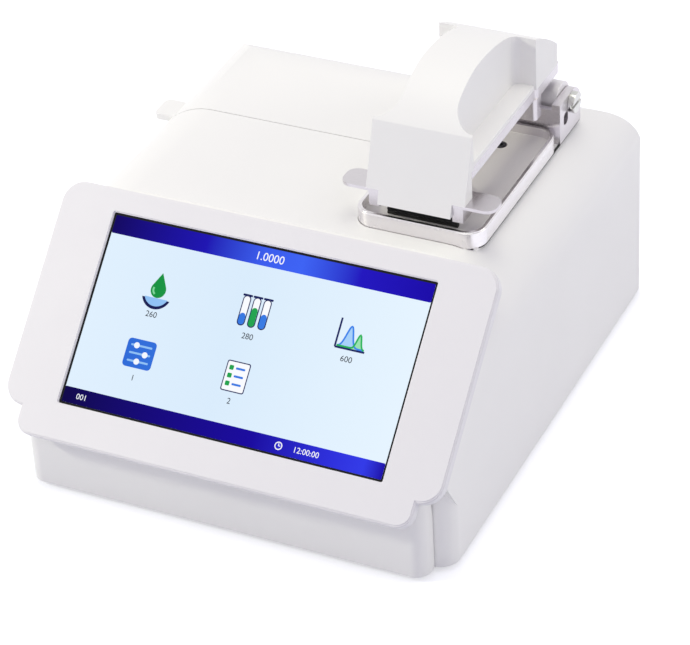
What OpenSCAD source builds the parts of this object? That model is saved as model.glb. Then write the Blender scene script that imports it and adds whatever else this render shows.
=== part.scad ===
// Microvolume spectrophotometer with a touch display, a swing arm over a sample tray and a lidded bay.
// Millimetres, +Z up, -Y to the front. The origin lies on the table under the middle of the whole object.
// Pieces are drawn from a zero line across the housing and from its lower edge; at_base() places them.

/* [Housing] */
// width of the housing
body_w = 210; // [206:1:216]
// height of the flat top above the housing's lower edge
body_h = 112; // [111:0.5:114]
// rear wall, behind the zero line
body_back = 116; // [115:1:122]
// front wall, set back from the display's foot
front_setback = 8.3; // [7.5:0.1:10]
// wall thickness of the mouldings
wall = 3; // [2.6:0.1:3.4]
// radius of the long left and right shoulders
shoulder_r = 32; // [30:0.5:33]
// radius of the rounded back
back_r = 40; // [38:1:42]
// radius of the upright rear corners
corner_r = 4; // [3.8:0.2:6]
// radius of the upright front corners, below the display
front_corner_r = 9; // [8:0.5:10]
// height of the rubber feet below the housing
foot_h = 2.5; // [2:0.1:4]

/* [Display] */
// angle of the display above level
slope_angle = 43.5; // [43:0.1:44]
// upper edge of the sloped front, before the zero line
slope_top = 47; // [46:0.5:48]
// width of the display window
window_w = 156; // [150:1:158]
// height of the display window along the slope
window_h = 88; // [84:1:89]
// thickness of the bezel
bezel_t = 5; // [4.8:0.1:5.4]
// height of the bezel above the window
bezel_above = 10.7; // [9:0.1:12]
// step from the window down to the bezel's shoulders
bezel_below = 5; // [4:0.5:6]
// height of the narrow chin below the shoulders
chin_h = 12; // [10:0.5:13]
// how much narrower the chin and the plinth are on each side
chin_inset = 10; // [9:0.5:12]

/* [Sample tray and hinge] */
// middle of tray and arm, from the housing's right side
arm_from_side = 47; // [45:0.5:49]
// width of the sample tray
tray_w = 60; // [59:0.5:60]
// length of the sample tray
tray_len = 93; // [91:0.5:94]
// height of the tray's rim above its underside
tray_h = 8; // [7:0.5:9]
// hinge axis of the arm, behind the tray
hinge_behind = 14; // [13:0.5:15]
// hinge axis of the arm above the flat top
hinge_rise = 14; // [13.5:0.5:15]
// radius of the hinge barrel
barrel_r = 8.5; // [8:0.1:8.8]
// diameter of the hinge pin
pin_d = 6; // [5:0.5:7]

/* [Arm] */
// width of the arm cover at its head and tail
arm_w = 46; // [44:1:47]
// width of the arm cover's waist
waist_w = 25.4; // [24:0.2:28]
// distance over the two finger ears
ear_span = 72; // [68:1:74]
// underside of the arm frame above the hinge axis
frame_rise = 12.5; // [12:0.5:14]
// thickness of the arm frame
frame_t = 5; // [4:0.5:5.5]
// crown of the arm cover above its frame
crown_rise = 32.5; // [31:0.5:34]

/* [Cuvette lid] */
// front seam of the lid, behind the zero line
lid_front = 27; // [26:0.5:29]
// free space between the lid and the tray's hinge bracket
lid_clear = 8; // [7.5:0.5:12]
// depth of the lid from the flat top to its lower edge
lid_h = 22; // [21:0.5:23]
// width of the finger tab
tab_w = 14; // [12:0.5:16]

/* [Hidden] */
$fn = 48;
// small gap between pieces that are set into each other
fit = 0.3;
// radial play of turning and pushed-in round pieces
slide = 0.05;
// overshoot of cutting shapes
eps = 0.01;
// far more than any size of the object, for half spaces
far = 400;

// housing colours
shell_white = [0.95, 0.95, 0.94];
bezel_white = [0.92, 0.92, 0.93];
steel = [0.72, 0.72, 0.73];
dark_steel = [0.45, 0.46, 0.48];
board_green = [0.10, 0.35, 0.20];
black_plastic = [0.08, 0.08, 0.09];

// the sloped front: outward face of the shell lies bezel_t behind the bezel's face
slope_cos = cos(slope_angle);
slope_sin = sin(slope_angle);
// the bezel's upper edge lies this far below the slope's upper edge
bezel_drop = 1.7;
slope_len = window_h + bezel_above + bezel_drop;
// shell's sloped face, at the foot of the window
slope_y = -slope_top - slope_len * slope_cos;
slope_z = body_h - slope_len * slope_sin;
// lower edge of the display window on the bezel's face, before the zero line and above the lower edge
window_front = -slope_y + bezel_t * slope_sin;
window_low = slope_z + bezel_t * slope_cos;
body_front = window_front - front_setback;
// height at which the sloped face turns back under the display
nose_z = window_low - 1;
// height at which the front wall becomes upright
undercut_z = nose_z - 17.5;
function slope_at(z) = slope_y + (z - slope_z) * slope_cos / slope_sin;
function slope_height(y) = slope_z + (y - slope_y) * slope_sin / slope_cos;
// whole reach before and behind the zero line, and the zero line's place behind the origin
reach_front = window_front + (bezel_below + chin_h) * slope_cos;
reach_back = body_back + 2.5;
zero_y = round((reach_front - reach_back) / 2);
// the plinth's lip stands out this far in front of the housing's front wall
lip_out = 10;
// radius of the lip's upright front corners
lip_r = 7;
// the lip reaches this much further out than the chin on each side
lip_over = 2;

// glass and display behind the bezel
glass_w = window_w + 8;
glass_h = window_h + 7;
glass_t = 1.8;
// the glass lies this deep behind the bezel's face
glass_sink = 1.2;
lcd_t = bezel_t + wall - glass_sink - glass_t;
// sheet behind the display, kept clear of the undercut below the window
bracket_t = 1.2;
bracket_w = glass_w + 4;
bracket_low = 9;
bracket_high = window_h + 6.5;
// main board on standoffs behind the sheet
board_gap = 6;
board_t = 1.6;
board_w = 140;
board_h = 78;
board_mid = (bracket_low + bracket_high) / 2;

// tray and hinge
arm_x = body_w / 2 - arm_from_side;
tray_y0 = -slope_top + 9;
tray_r = 9;
tray_wall = 2;
tray_sink = 1;
tray_z = body_h - tray_sink;
tray_floor = 3.5;
tray_y1 = tray_y0 + tray_len;
// the tray's screws lie below the arm, one pair on each side of the pedestal
tray_screw_x = 7;
tray_screw_front = tray_y0 + 13;
tray_screw_back = tray_y1 - 14;
// pad of the shell below tray and bracket
pad_inset = 2;
pad_t = 4;
hinge_y = tray_y1 + hinge_behind;
hinge_z = body_h + hinge_rise;
cheek_t = 4;
bush_d = pin_d + 3;
bracket_y0 = tray_y1 + fit;
bracket_y1 = hinge_y + 11;
cheek_top = hinge_z + 5;
cheek_in = tray_w / 2 - cheek_t;
cross_top = hinge_z + 2;

// pedestals
pedestal_y = tray_y0 + 30;
pedestal_d = 12;
pedestal_top = tray_z + 10;
pedestal_gap = 0.4;
// neck of the upper pedestal in the arm's frame
neck_d = 16;

// arm
frame_z = hinge_z + frame_rise;
frame_top = frame_z + frame_t;
// rear face of the head's slab
slab_back = tray_y0 + 12.5;
ear_y0 = tray_y0 + 2;
ear_y1 = tray_y0 + 15;
ear_z = hinge_z + 3.5;
ear_t = 1.5;
ear_rail_h = 7;
ear_rail_w = 5;
// half the space between the rails of the ears
ear_gap = 17;
head_low = ear_z - 4.5;
lean_y = tray_y0 - 0.5;
// the head leans back by this much for each millimetre of height
head_lean = 0.35;
crown_z = frame_top + crown_rise;
crown_y = pedestal_y + 16;
crown_flat = 1;
crown_front_r = 44;
crown_back_r = 95;
// white ledge of the cover on the frame, beside the waist
ledge_t = 2;
arm_back = hinge_y + 5;
// front of the wide tail
waist_back = hinge_y - 24;
cover_wall = 2.4;
lamp_mount_t = 2;
step_fillet = 4;
leg_y0 = hinge_y - 25;
leg_y1 = hinge_y - 17;
leg_w = 10;
leg_z = hinge_z + 2;

// lid and its hinge
lid_gap = 0.5;
lid_wall = 2.5;
lid_right = arm_x - tray_w / 2 - lid_clear;
lid_w = lid_right + body_w / 2;
lid_low = body_h - lid_h;
// the hinge axis lies outside the rounded back, just below the lid's rear edge
lid_hinge_y = body_back - 1.5;
lid_hinge_z = lid_low - 2;
// leaf that joins the lid's rear edge to its barrels
lid_leaf_t = 2;
lid_pin_d = 2;
lid_barrel_d = 5;
lid_barrel_w = 17;
lid_pin_l = 31.4;
lid_lug_w = 6.4;
// root of each lug in the shell's back: reach forward of the axis and below it
lug_reach = 3.5;
lug_drop = 4;
// the leaf starts this far before the axis, its turned-down part this far
leaf_reach = 4.5;
leaf_turn = 1;
deck_t = 3;
deck_z = lid_low - lid_gap - deck_t;
bay_x = 63 - body_w / 2;
bay_y = lid_front + 39;

// rear panel with its fittings
panel_w = 150;
panel_h = 40;
panel_z = 34;
panel_t = 2;
inlet_x = 52;
switch_x = 20;
usb_x = -34;
usb_pitch = 20;
rocker_w = 12;
rocker_h = 18;
rocker_pin_d = 2.4;
// tilt of the rocker on either side of its middle
rocker_tilt = 8;

// places of the feet and of the screws under the plinth
foot_x = body_w / 2 - 24;
foot_front = -body_front + 31;
foot_back = body_back - 24;
foot_d = 18;
// the feet are let into the plinth by this much
foot_sink = 0.7;
boss_d = 9;
screw_x = body_w / 2 - wall - boss_d / 2 + 1;
screw_front = -body_front + 27;
screw_back = body_back - 14;

// Lifts a piece onto the feet and moves it from the zero line to the origin.
module at_base() {
    translate([0, zero_y, foot_h]) children();
}

// Puts a flat drawing or solid on the bezel's face: x across, y up the slope, z outwards.
module on_slope() {
    translate([0, -window_front, window_low]) rotate([slope_angle, 0, 0]) children();
}

// Extrudes a side view drawn as (y, z) across the width between two x values.
module across(x0, x1) {
    translate([x0, 0, 0]) rotate([90, 0, 90]) linear_extrude(x1 - x0) children();
}

// Extrudes a front view drawn as (x, z) backwards between two y values.
module along(y0, y1) {
    translate([0, y1, 0]) rotate([90, 0, 0]) linear_extrude(y1 - y0) children();
}

// A rectangle between two corners with all corners rounded by true arcs.
module rounded_rect(x0, y0, x1, y1, r) {
    translate([x0 + r, y0]) square([x1 - x0 - 2 * r, y1 - y0]);
    translate([x0, y0 + r]) square([x1 - x0, y1 - y0 - 2 * r]);
    for (x = [x0 + r, x1 - r], y = [y0 + r, y1 - r]) translate([x, y]) circle(r);
}

// A slot with round ends, upright in its drawing.
module slot(w, h) {
    square([w, h - w], center = true);
    for (end = [-1, 1]) translate([0, end * (h - w) / 2]) circle(d = w);
}

// A box between two corners.
module block(low, high) {
    translate(low) cube(high - low);
}

// Side view of the housing: upright front wall, undercut, sloped face, flat top and rounded back.
module housing_side(inset) {
    r = back_r - inset;
    top = body_h - inset;
    back = body_back - inset;
    // the slope moves inwards along its own normal
    shift = inset / slope_sin;
    difference() {
        union() {
            polygon([[-body_front + inset, -eps], [-body_front + inset, undercut_z],
                [slope_at(nose_z) + shift, nose_z], [slope_at(top) + shift, top],
                [back - r, top], [back - r, -eps]]);
            translate([back - r - eps, -eps]) square([r + eps, top - r + eps]);
            translate([back - r, top - r]) intersection() {
                circle(r);
                translate([-eps, -eps]) square(far);
            }
        }
        translate([-far, -far]) square([2 * far, far]);
    }
}

// Front view of the housing: straight walls and round shoulders.
module housing_front(inset) {
    r = shoulder_r - inset;
    half = body_w / 2 - inset;
    top = body_h - inset;
    translate([-half, -eps]) square([2 * half, top - r + eps]);
    translate([-half + r, 0]) square([2 * (half - r), top]);
    for (side = [-1, 1]) translate([side * (half - r), top - r]) circle(r);
}

// Plan of the housing: round rear corners, the front left open.
module housing_plan(inset) {
    r = corner_r - inset;
    half = body_w / 2 - inset;
    back = body_back - inset;
    translate([-half, -far]) square([2 * half, far + back - r]);
    translate([-half + r, 0]) square([2 * (half - r), back]);
    for (side = [-1, 1]) translate([side * (half - r), back - r]) circle(r);
}

// Round front corners up to a slant that runs forward and up to the nose; whole width above the slant.
module front_corners(inset) {
    half = body_w / 2 - inset;
    lift = 1.6 * inset;
    slant_foot = -body_front + front_corner_r;
    across(-body_w, body_w) polygon([[-far, far], [-far, nose_z + lift], [slope_at(nose_z), nose_z + lift],
        [slant_foot, undercut_z + lift], [far, undercut_z + lift], [far, far]]);
    translate([0, 0, -eps]) linear_extrude(far)
        rounded_rect(-half, -body_front + inset, half, far, front_corner_r - inset);
}

// The housing's outer form, moved inwards by the inset.
module housing_form(inset) {
    intersection() {
        across(-body_w, body_w) housing_side(inset);
        along(-far, far) housing_front(inset);
        translate([0, 0, -eps]) linear_extrude(far) housing_plan(inset);
        front_corners(inset);
    }
}

// The opening for glass and display behind the bezel.
module display_opening() {
    on_slope() translate([-glass_w / 2 - fit, window_h / 2 - glass_h / 2 - fit, -bezel_t - wall - 1])
        cube([glass_w + 2 * fit, glass_h + 2 * fit, wall + 2]);
}

// The space that the lid takes out of the housing.
module lid_space(gap) {
    block([-body_w, lid_front - gap, lid_low - gap], [lid_right + gap, far, far]);
}

// Places the children at the four housing screws.
module at_screws() {
    for (side = [-1, 1], y = [screw_front, screw_back]) translate([side * screw_x, y, 0]) children();
}

// A screw with a domed head and a hexagon socket, its head's underside at z = 0 and its shank downwards.
module cap_screw(d, length) {
    head = 0.55 * d;
    difference() {
        union() {
            translate([0, 0, -length]) cylinder(d = d, h = length + eps);
            cylinder(d = 1.8 * d, h = head);
        }
        translate([0, 0, head - 0.3 * d]) cylinder(d = 0.9 * d, h = d, $fn = 6);
    }
}

// Housing

module main_shell() {
    color(shell_white) at_base() difference() {
        union() {
            difference() {
                housing_form(0);
                housing_form(wall);
            }
            // the bay under the lid: deck and upright walls
            intersection() {
                housing_form(0);
                block([-body_w, lid_front - wall, deck_z], [lid_right + wall, far, far]);
            }
            // bosses for the housing screws
            intersection() {
                at_screws() translate([0, 0, wall + fit]) cylinder(d = boss_d, h = 30);
                housing_form(0);
            }
            // stiffening ribs under the flat top
            intersection() {
                for (y = [-30, 0, 16]) block([-body_w / 2, y - 1, body_h - 8], [18, y + 1, body_h]);
                housing_form(0);
            }
            // raised pad that carries tray and bracket out over the shoulder
            block([arm_x - tray_w / 2 + pad_inset, tray_y0 + pad_inset, tray_z - pad_t],
                [arm_x + tray_w / 2 - pad_inset, bracket_y1 - pad_inset, tray_z]);
        }
        lid_space(lid_gap);
        display_opening();
        // seat of the sample tray and of the hinge bracket
        translate([arm_x, 0, tray_z]) linear_extrude(far) seat_plan();
        // hole below the measuring pedestal
        translate([arm_x, pedestal_y, body_h - 10]) cylinder(d = pedestal_d + 6, h = 20);
        // holes for the tray's and the bracket's screws
        at_tray_screws() translate([0, 0, tray_z - 12]) cylinder(d = 3 + 2 * fit, h = 14);
        at_bracket_screws() translate([0, 0, tray_z - 12]) cylinder(d = 4 + 2 * fit, h = 14);
        // opening for the rear panel
        along(body_back - wall - 1, body_back + 1) panel_outline(0);
        // well of the cuvette holder
        translate([bay_x, bay_y, deck_z - 1]) linear_extrude(deck_t + 2) square(30 + 2 * fit, center = true);
        // the plinth passes below the front wall
        block([-body_w / 2 + chin_inset, -body_front - 1, -1],
            [body_w / 2 - chin_inset, -body_front + wall + 1, wall + fit]);
        // bores of the housing screws
        at_screws() translate([0, 0, -1]) cylinder(d = 3, h = 26);
        // room for the lid's hinge barrels
        lid_barrel_room();
        // bores of the lid's hinge pins
        lid_pin_bores();
    }
    color(shell_white) at_base() lid_lugs();
}

// Plan of the tray's seat: round front corners like the tray, square behind like the bracket.
module seat_plan() {
    half = tray_w / 2 + fit;
    square_y = tray_y1 - tray_r - fit;
    rounded_rect(-half, tray_y0 - fit, half, tray_y1, tray_r + fit);
    translate([-half, square_y]) square([2 * half, bracket_y1 + fit - square_y]);
}

// Middle of each of the lid's two hinges.
function lid_hinge_x() = [lid_right - lid_w * 0.72, lid_right - lid_w * 0.2];

// Room in the shell's back for the lid's barrels.
module lid_barrel_room() {
    room_r = lid_barrel_d / 2 + lid_gap;
    half = lid_barrel_w / 2 + lid_gap;
    for (x = lid_hinge_x())
        translate([x - half, lid_hinge_y, lid_hinge_z]) rotate([0, 90, 0]) cylinder(r = room_r, h = 2 * half);
}

// Bores through the barrels and lugs of the lid's hinges.
module lid_pin_bores() {
    for (x = lid_hinge_x()) translate([x - lid_pin_l / 2 - 1, lid_hinge_y, lid_hinge_z]) rotate([0, 90, 0])
        cylinder(d = lid_pin_d, h = lid_pin_l + 2);
}

// Lugs of the shell on both sides of each lid barrel.
module lid_lugs() {
    difference() {
        for (x = lid_hinge_x(), side = [-1, 1])
            translate([x + side * (lid_pin_l - lid_lug_w) / 2 - lid_lug_w / 2, lid_hinge_y, lid_hinge_z]) {
                rotate([0, 90, 0]) cylinder(d = lid_barrel_d, h = lid_lug_w);
                block([0, -lug_reach, -lug_drop], [lid_lug_w, 0, 0]);
            }
        lid_pin_bores();
    }
}

module base_plinth() {
    color(shell_white) at_base() {
        difference() {
            union() {
                // floor inside the housing
                linear_extrude(wall) rounded_rect(-body_w / 2 + wall + fit, -body_front + wall + fit,
                    body_w / 2 - wall - fit, body_back - wall - fit, front_corner_r - wall - fit);
                // floor below the housing's front wall
                block([-body_w / 2 + chin_inset + fit, -body_front - 2, 0],
                    [body_w / 2 - chin_inset - fit, -body_front + wall + 2, wall]);
                // lip in front of the housing, hollow towards the housing
                difference() {
                    intersection() {
                        across(-body_w, body_w) lip_side();
                        linear_extrude(far) lip_plan(0);
                    }
                    intersection() {
                        block([-body_w, -body_front - lip_out + wall, wall],
                            [body_w, -body_front + 1, undercut_z - wall]);
                        linear_extrude(far) lip_plan(wall);
                    }
                }
                // pillars below the power board and the spectrometer
                at_power_posts() cylinder(d = 6, h = 9);
                at_spectrometer_posts() cylinder(d = 8, h = 12);
            }
            at_screws() translate([0, 0, -1]) cylinder(d = 3 + 2 * fit, h = 8);
            at_screws() translate([0, 0, -eps]) cylinder(d = 6, h = 1.6 + eps);
            // seats of the feet
            at_feet() translate([0, 0, -eps]) cylinder(d = foot_d + 2 * fit, h = foot_sink + eps);
            display_opening();
            // air slots below the boards
            for (i = [-3:3]) translate([i * 8, 20, -1]) linear_extrude(wall + 2) slot(3, 36);
        }
    }
}

// Side view of the plinth's lip: upright front, top behind the bezel's chin, back along the undercut.
module lip_side() {
    front = -body_front - lip_out;
    nose = slope_at(nose_z) - 2.2;
    polygon([[front, 0], [front, slope_height(front) - fit * 1.4], [nose, slope_height(nose) - fit * 1.4],
        [nose + 1.6, nose_z - 1.6], [-body_front - fit, undercut_z - 0.4], [-body_front - fit, 0]]);
}

// Plan of the plinth's lip.
module lip_plan(inset) {
    half = body_w / 2 - chin_inset + lip_over - inset;
    rounded_rect(-half, -body_front - lip_out + inset, half, -body_front + 30, lip_r - inset);
}

module at_feet() {
    for (side = [-1, 1], y = [foot_front, foot_back]) translate([side * foot_x, y, 0]) children();
}

module feet() {
    // each foot stands on a slightly smaller tread
    color(black_plastic) at_base() at_feet() translate([0, 0, -foot_h]) {
        cylinder(d = foot_d - 2, h = 1);
        translate([0, 0, 0.8]) cylinder(d = foot_d, h = foot_h + foot_sink - 0.8);
    }
}

module housing_screws() {
    color(dark_steel) at_base() at_screws() translate([0, 0, 1.6]) rotate([180, 0, 0])
        cap_screw(2.8, 16);
}

// Display

// Outline of the bezel: wide plate and the narrower chin below its shoulders.
module bezel_outline(inset) {
    half = body_w / 2;
    rounded_rect(-half + inset, -bezel_below + inset, half - inset, window_h + bezel_above - inset,
        10 - inset);
    rounded_rect(-half + chin_inset + inset, -bezel_below - chin_h + inset,
        half - chin_inset - inset, 20, 7 - inset);
}

module screen_bezel() {
    color(bezel_white) at_base() on_slope() difference() {
        union() {
            translate([0, 0, -bezel_t]) linear_extrude(bezel_t - 0.8) bezel_outline(0);
            translate([0, 0, -0.8 - eps]) linear_extrude(0.4 + eps) bezel_outline(0.3);
            translate([0, 0, -0.4 - eps]) linear_extrude(0.4 + eps) bezel_outline(0.9);
        }
        translate([0, 0, -bezel_t - 1]) linear_extrude(bezel_t + 2)
            rounded_rect(-window_w / 2, 0, window_w / 2, window_h, 0.8);
        // stepped lead-in round the window
        translate([0, 0, -0.5]) linear_extrude(2)
            rounded_rect(-window_w / 2 - 0.5, -0.5, window_w / 2 + 0.5, window_h + 0.5, 1.2);
        // rebate for the glass
        translate([-glass_w / 2 - fit, window_h / 2 - glass_h / 2 - fit, -bezel_t - 1])
            cube([glass_w + 2 * fit, glass_h + 2 * fit, bezel_t + 1 - glass_sink]);
    }
}

module touch_glass() {
    color(black_plastic) at_base() on_slope() translate([0, window_h / 2, -glass_sink - glass_t])
        linear_extrude(glass_t) rounded_rect(-glass_w / 2, -glass_h / 2, glass_w / 2, glass_h / 2, 2);
}

module lcd_panel() {
    half_w = glass_w / 2 - fit;
    half_h = glass_h / 2 - fit;
    color(dark_steel) at_base() on_slope() translate([0, window_h / 2, -bezel_t - wall])
        linear_extrude(lcd_t) rounded_rect(-half_w, -half_h, half_w, half_h, 1);
}

// Corners of the main board.
module at_standoffs() {
    for (x = [-1, 1], y = [-1, 1])
        translate([x * (board_w / 2 - 7), board_mid + y * (board_h / 2 - 7), 0]) children();
}

module lcd_bracket() {
    color(steel) at_base() on_slope() translate([0, 0, -bezel_t - wall - bracket_t]) {
        difference() {
            linear_extrude(bracket_t)
                rounded_rect(-bracket_w / 2, bracket_low, bracket_w / 2, bracket_high, 4);
            // windows that lighten the sheet
            for (x = [-1, 1]) translate([x * 30, board_mid, -1]) linear_extrude(bracket_t + 2)
                rounded_rect(-20, -24, 20, 24, 5);
        }
        at_standoffs() translate([0, 0, -board_gap]) cylinder(d = 6, h = board_gap + eps);
    }
}

module main_board() {
    color(board_green) at_base() on_slope()
        translate([0, 0, -bezel_t - wall - bracket_t - board_gap - board_t]) {
            translate([0, board_mid, 0]) linear_extrude(board_t)
                rounded_rect(-board_w / 2, -board_h / 2, board_w / 2, board_h / 2, 3);
            // processor, memories and plugs
            translate([-12, board_mid - 10, -1.6]) cube([24, 24, 1.6 + eps]);
            for (x = [20, 34]) translate([x, board_mid - 6, -1.2]) cube([10, 14, 1.2 + eps]);
            for (x = [-56, -36, 40]) translate([x, board_mid - 35, -6]) cube([16, 7, 6 + eps]);
        }
}

// Boards and optics inside

module at_power_posts() {
    for (x = [-78, -22], y = [30, 92]) translate([x, y, 0]) children();
}

module power_board() {
    color(board_green) at_base() translate([0, 0, 9]) {
        linear_extrude(board_t) rounded_rect(-84, 24, -16, 98, 3);
        // transformer, capacitors and heat sink
        translate([-74, 60, board_t - eps]) cube([26, 24, 22]);
        for (x = [-36, -24]) translate([x, 78, board_t - eps]) cylinder(d = 10, h = 18);
        translate([-72, 36, board_t - eps]) {
            cube([36, 3, 20]);
            for (i = [0:5]) translate([i * 6.8, 0, 0]) cube([2, 12, 20]);
        }
    }
}

module at_spectrometer_posts() {
    for (x = [arm_x - 26, arm_x + 26], y = [-26, 34]) translate([x, y, 0]) children();
}

module spectrometer() {
    color(dark_steel) at_base() translate([arm_x, 0, 12]) {
        difference() {
            linear_extrude(30) rounded_rect(-33, -33, 33, 41, 5);
            translate([0, 0, 4]) linear_extrude(24) rounded_rect(-29, -29, 29, 37, 3);
        }
        // optical bench with grating block, mirror block and detector
        translate([-22, 20, 4 - eps]) cube([14, 10, 16]);
        translate([8, 18, 4 - eps]) cube([14, 10, 16]);
        translate([-14, -26, 4 - eps]) cube([28, 6, 14]);
        // fibre socket below the pedestal
        translate([0, pedestal_y, 30 - eps]) difference() {
            cylinder(d = 12, h = 10);
            translate([0, 0, 2]) cylinder(d = 4, h = 20);
        }
    }
}

module light_fibre() {
    color(black_plastic) at_base() translate([arm_x, pedestal_y, 44]) {
        cylinder(d = 4 - 2 * slide, h = tray_z - 10 - 44);
        translate([0, 0, 8]) cylinder(d = 7, h = 6);
    }
}

// Sample tray

module at_tray_screws() {
    for (side = [-1, 1], y = [tray_screw_front, tray_screw_back])
        translate([arm_x + side * tray_screw_x, y, 0]) children();
}

module sample_tray() {
    x0 = arm_x - tray_w / 2;
    x1 = arm_x + tray_w / 2;
    color(steel) at_base() translate([0, 0, tray_z]) difference() {
        union() {
            linear_extrude(tray_h - 0.5) rounded_rect(x0, tray_y0, x1, tray_y1, tray_r);
            // softened rim
            translate([0, 0, tray_h - 0.5 - eps]) linear_extrude(0.5 + eps)
                rounded_rect(x0 + 0.4, tray_y0 + 0.4, x1 - 0.4, tray_y1 - 0.4, tray_r - 0.4);
        }
        translate([0, 0, tray_floor]) linear_extrude(tray_h)
            rounded_rect(x0 + tray_wall, tray_y0 + tray_wall, x1 - tray_wall, tray_y1 - tray_wall,
                tray_r - tray_wall);
        // hole of the pedestal
        translate([arm_x, pedestal_y, -1]) cylinder(d = pedestal_d + 4 + 2 * fit, h = tray_h);
        // counterbored seats of the tray's screws
        at_tray_screws() {
            translate([0, 0, -1]) cylinder(d = 3 + 2 * fit, h = tray_h);
            translate([0, 0, tray_floor - 1.6]) cylinder(d = 6, h = 4);
        }
    }
}

module tray_screws() {
    color(dark_steel) at_base() at_tray_screws() translate([0, 0, tray_z + tray_floor - 1.6]) cap_screw(3, 9);
}

module lower_pedestal() {
    color(dark_steel) at_base() translate([arm_x, pedestal_y, 0]) difference() {
        union() {
            // flange on the tray's floor, post and body below
            translate([0, 0, tray_z + tray_floor]) cylinder(d = pedestal_d + 14, h = 1.6);
            translate([0, 0, tray_z - 14]) cylinder(d = pedestal_d + 4, h = tray_floor + 14 + eps);
            translate([0, 0, tray_z + tray_floor])
                cylinder(d = pedestal_d, h = pedestal_top - tray_z - tray_floor - 1);
            translate([0, 0, pedestal_top - 1 - eps]) cylinder(d = 4, h = 1 + eps);
        }
        // light path and groove of the seal
        translate([0, 0, tray_z - 18]) cylinder(d = 1.2, h = 40);
        translate([0, 0, tray_z - 17 - eps]) cylinder(d = 4, h = 8);
        translate([0, 0, pedestal_top - 3.6]) ring(pedestal_d / 2 - 1.2, pedestal_d / 2 + 1, 1.6);
    }
}

// A flat ring between two radii.
module ring(inner, outer, h) {
    difference() {
        cylinder(r = outer, h = h);
        translate([0, 0, -1]) cylinder(r = inner, h = h + 2);
    }
}

module pedestal_seal() {
    color(black_plastic) at_base() translate([arm_x, pedestal_y, pedestal_top - 3.6])
        ring(pedestal_d / 2 - 1.2, pedestal_d / 2 + 0.6, 1.6);
}

// Hinge of the arm

module at_bracket_screws() {
    for (side = [-1, 1], y = [hinge_y - 6, hinge_y + 6]) translate([arm_x + side * 16, y, 0]) children();
}

// Side view of a hinge cheek.
module cheek_side() {
    r = 9;
    translate([bracket_y0, tray_z]) square([bracket_y1 - bracket_y0, cheek_top - tray_z - r]);
    translate([bracket_y0, tray_z]) square([bracket_y1 - bracket_y0 - r, cheek_top - tray_z]);
    translate([bracket_y1 - r, cheek_top - r]) circle(r);
}

module hinge_bracket() {
    half = tray_w / 2;
    color(steel) at_base() difference() {
        union() {
            for (side = [-1, 1]) translate([arm_x + side * (half - cheek_t / 2), 0, 0])
                across(-cheek_t / 2, cheek_t / 2) cheek_side();
            block([arm_x - half, bracket_y0, tray_z], [arm_x + half, bracket_y1, tray_z + 3.5]);
            // cross wall between tray and barrel
            block([arm_x - half, bracket_y0, tray_z], [arm_x + half, bracket_y0 + 3, cross_top]);
        }
        translate([arm_x - half - 1, hinge_y, hinge_z]) rotate([0, 90, 0])
            cylinder(d = pin_d + 2 * slide, h = tray_w + 2);
        // lightening slots in the cheeks
        translate([0, bracket_y0 + 7, tray_z + 10]) across(arm_x - half - 1, arm_x + half + 1)
            rounded_rect(-2.5, -3, 2.5, 3, 2);
        at_bracket_screws() translate([0, 0, tray_z - 1]) cylinder(d = 4 + 2 * fit, h = 8);
    }
}

module bracket_screws() {
    color(dark_steel) at_base() at_bracket_screws() translate([0, 0, tray_z + 3.5]) cap_screw(4, 11);
}

module hinge_pin() {
    half = tray_w / 2;
    color(steel) at_base() translate([arm_x, hinge_y, hinge_z]) rotate([0, 90, 0]) {
        translate([0, 0, -half - eps]) cylinder(d = pin_d, h = tray_w + 2 * eps);
        // head with a slot on the right, clip groove collar on the left
        translate([0, 0, half]) difference() {
            cylinder(d = pin_d + 4, h = 3);
            translate([-0.7, -far / 2, 1.6]) cube([1.4, far, 4]);
        }
        translate([0, 0, -half - 1.6]) cylinder(d = pin_d + 3, h = 1.6);
    }
}

// Arm

// Side view of the arm cover: leaning head, round crown and a long fall to the tail.
module arm_side(inset) {
    top = crown_z - inset;
    low = head_low - inset;
    front = lean_y + inset - head_lean * inset;
    rise = 100;
    intersection() {
        union() {
            intersection() {
                translate([crown_y, crown_z - crown_front_r]) circle(crown_front_r - inset);
                translate([crown_y - far, 0]) square(far);
            }
            // short level crown between the two arcs
            translate([crown_y, 0]) square([crown_flat, top]);
            intersection() {
                translate([crown_y + crown_flat, crown_z - crown_back_r]) circle(crown_back_r - inset);
                translate([crown_y + crown_flat, 0]) square(far);
            }
            // the leaning face runs up past the foot of the front arc
            translate([crown_y - far, 0]) square([far, crown_z - crown_front_r + 0.1 * crown_front_r]);
        }
        polygon([[front, low], [front + head_lean * rise, low + rise], [far, low + rise], [far, low]]);
    }
}

// Plan of the arm cover: wide head, large hollow fillet to the waist, step out to the wide tail.
module arm_plan(inset) {
    half = arm_w / 2 - inset;
    waist = waist_w / 2 - inset;
    fillet = arm_w / 2 - waist_w / 2;
    r = 5 - inset;
    difference() {
        union() {
            translate([-half, -60]) square([2 * half, 60 + slab_back - inset]);
            translate([-waist, -60]) square([2 * waist, 60 + arm_back - inset - 6]);
            // tail
            rounded_rect(-half, waist_back + inset, half, arm_back - inset, r);
            translate([-half, waist_back + inset]) square([2 * half, 12]);
            // webs that the hollow fillets are cut from
            translate([-half, slab_back - inset]) square([2 * half, fillet + inset]);
            translate([-waist - step_fillet, waist_back + inset - step_fillet])
                square([2 * (waist + step_fillet), step_fillet]);
        }
        for (side = [-1, 1]) {
            translate([side * (waist_w / 2 + fillet), slab_back + fillet]) circle(fillet + inset);
            translate([side * (waist + step_fillet), waist_back + inset - step_fillet]) circle(step_fillet);
        }
    }
}

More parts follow.
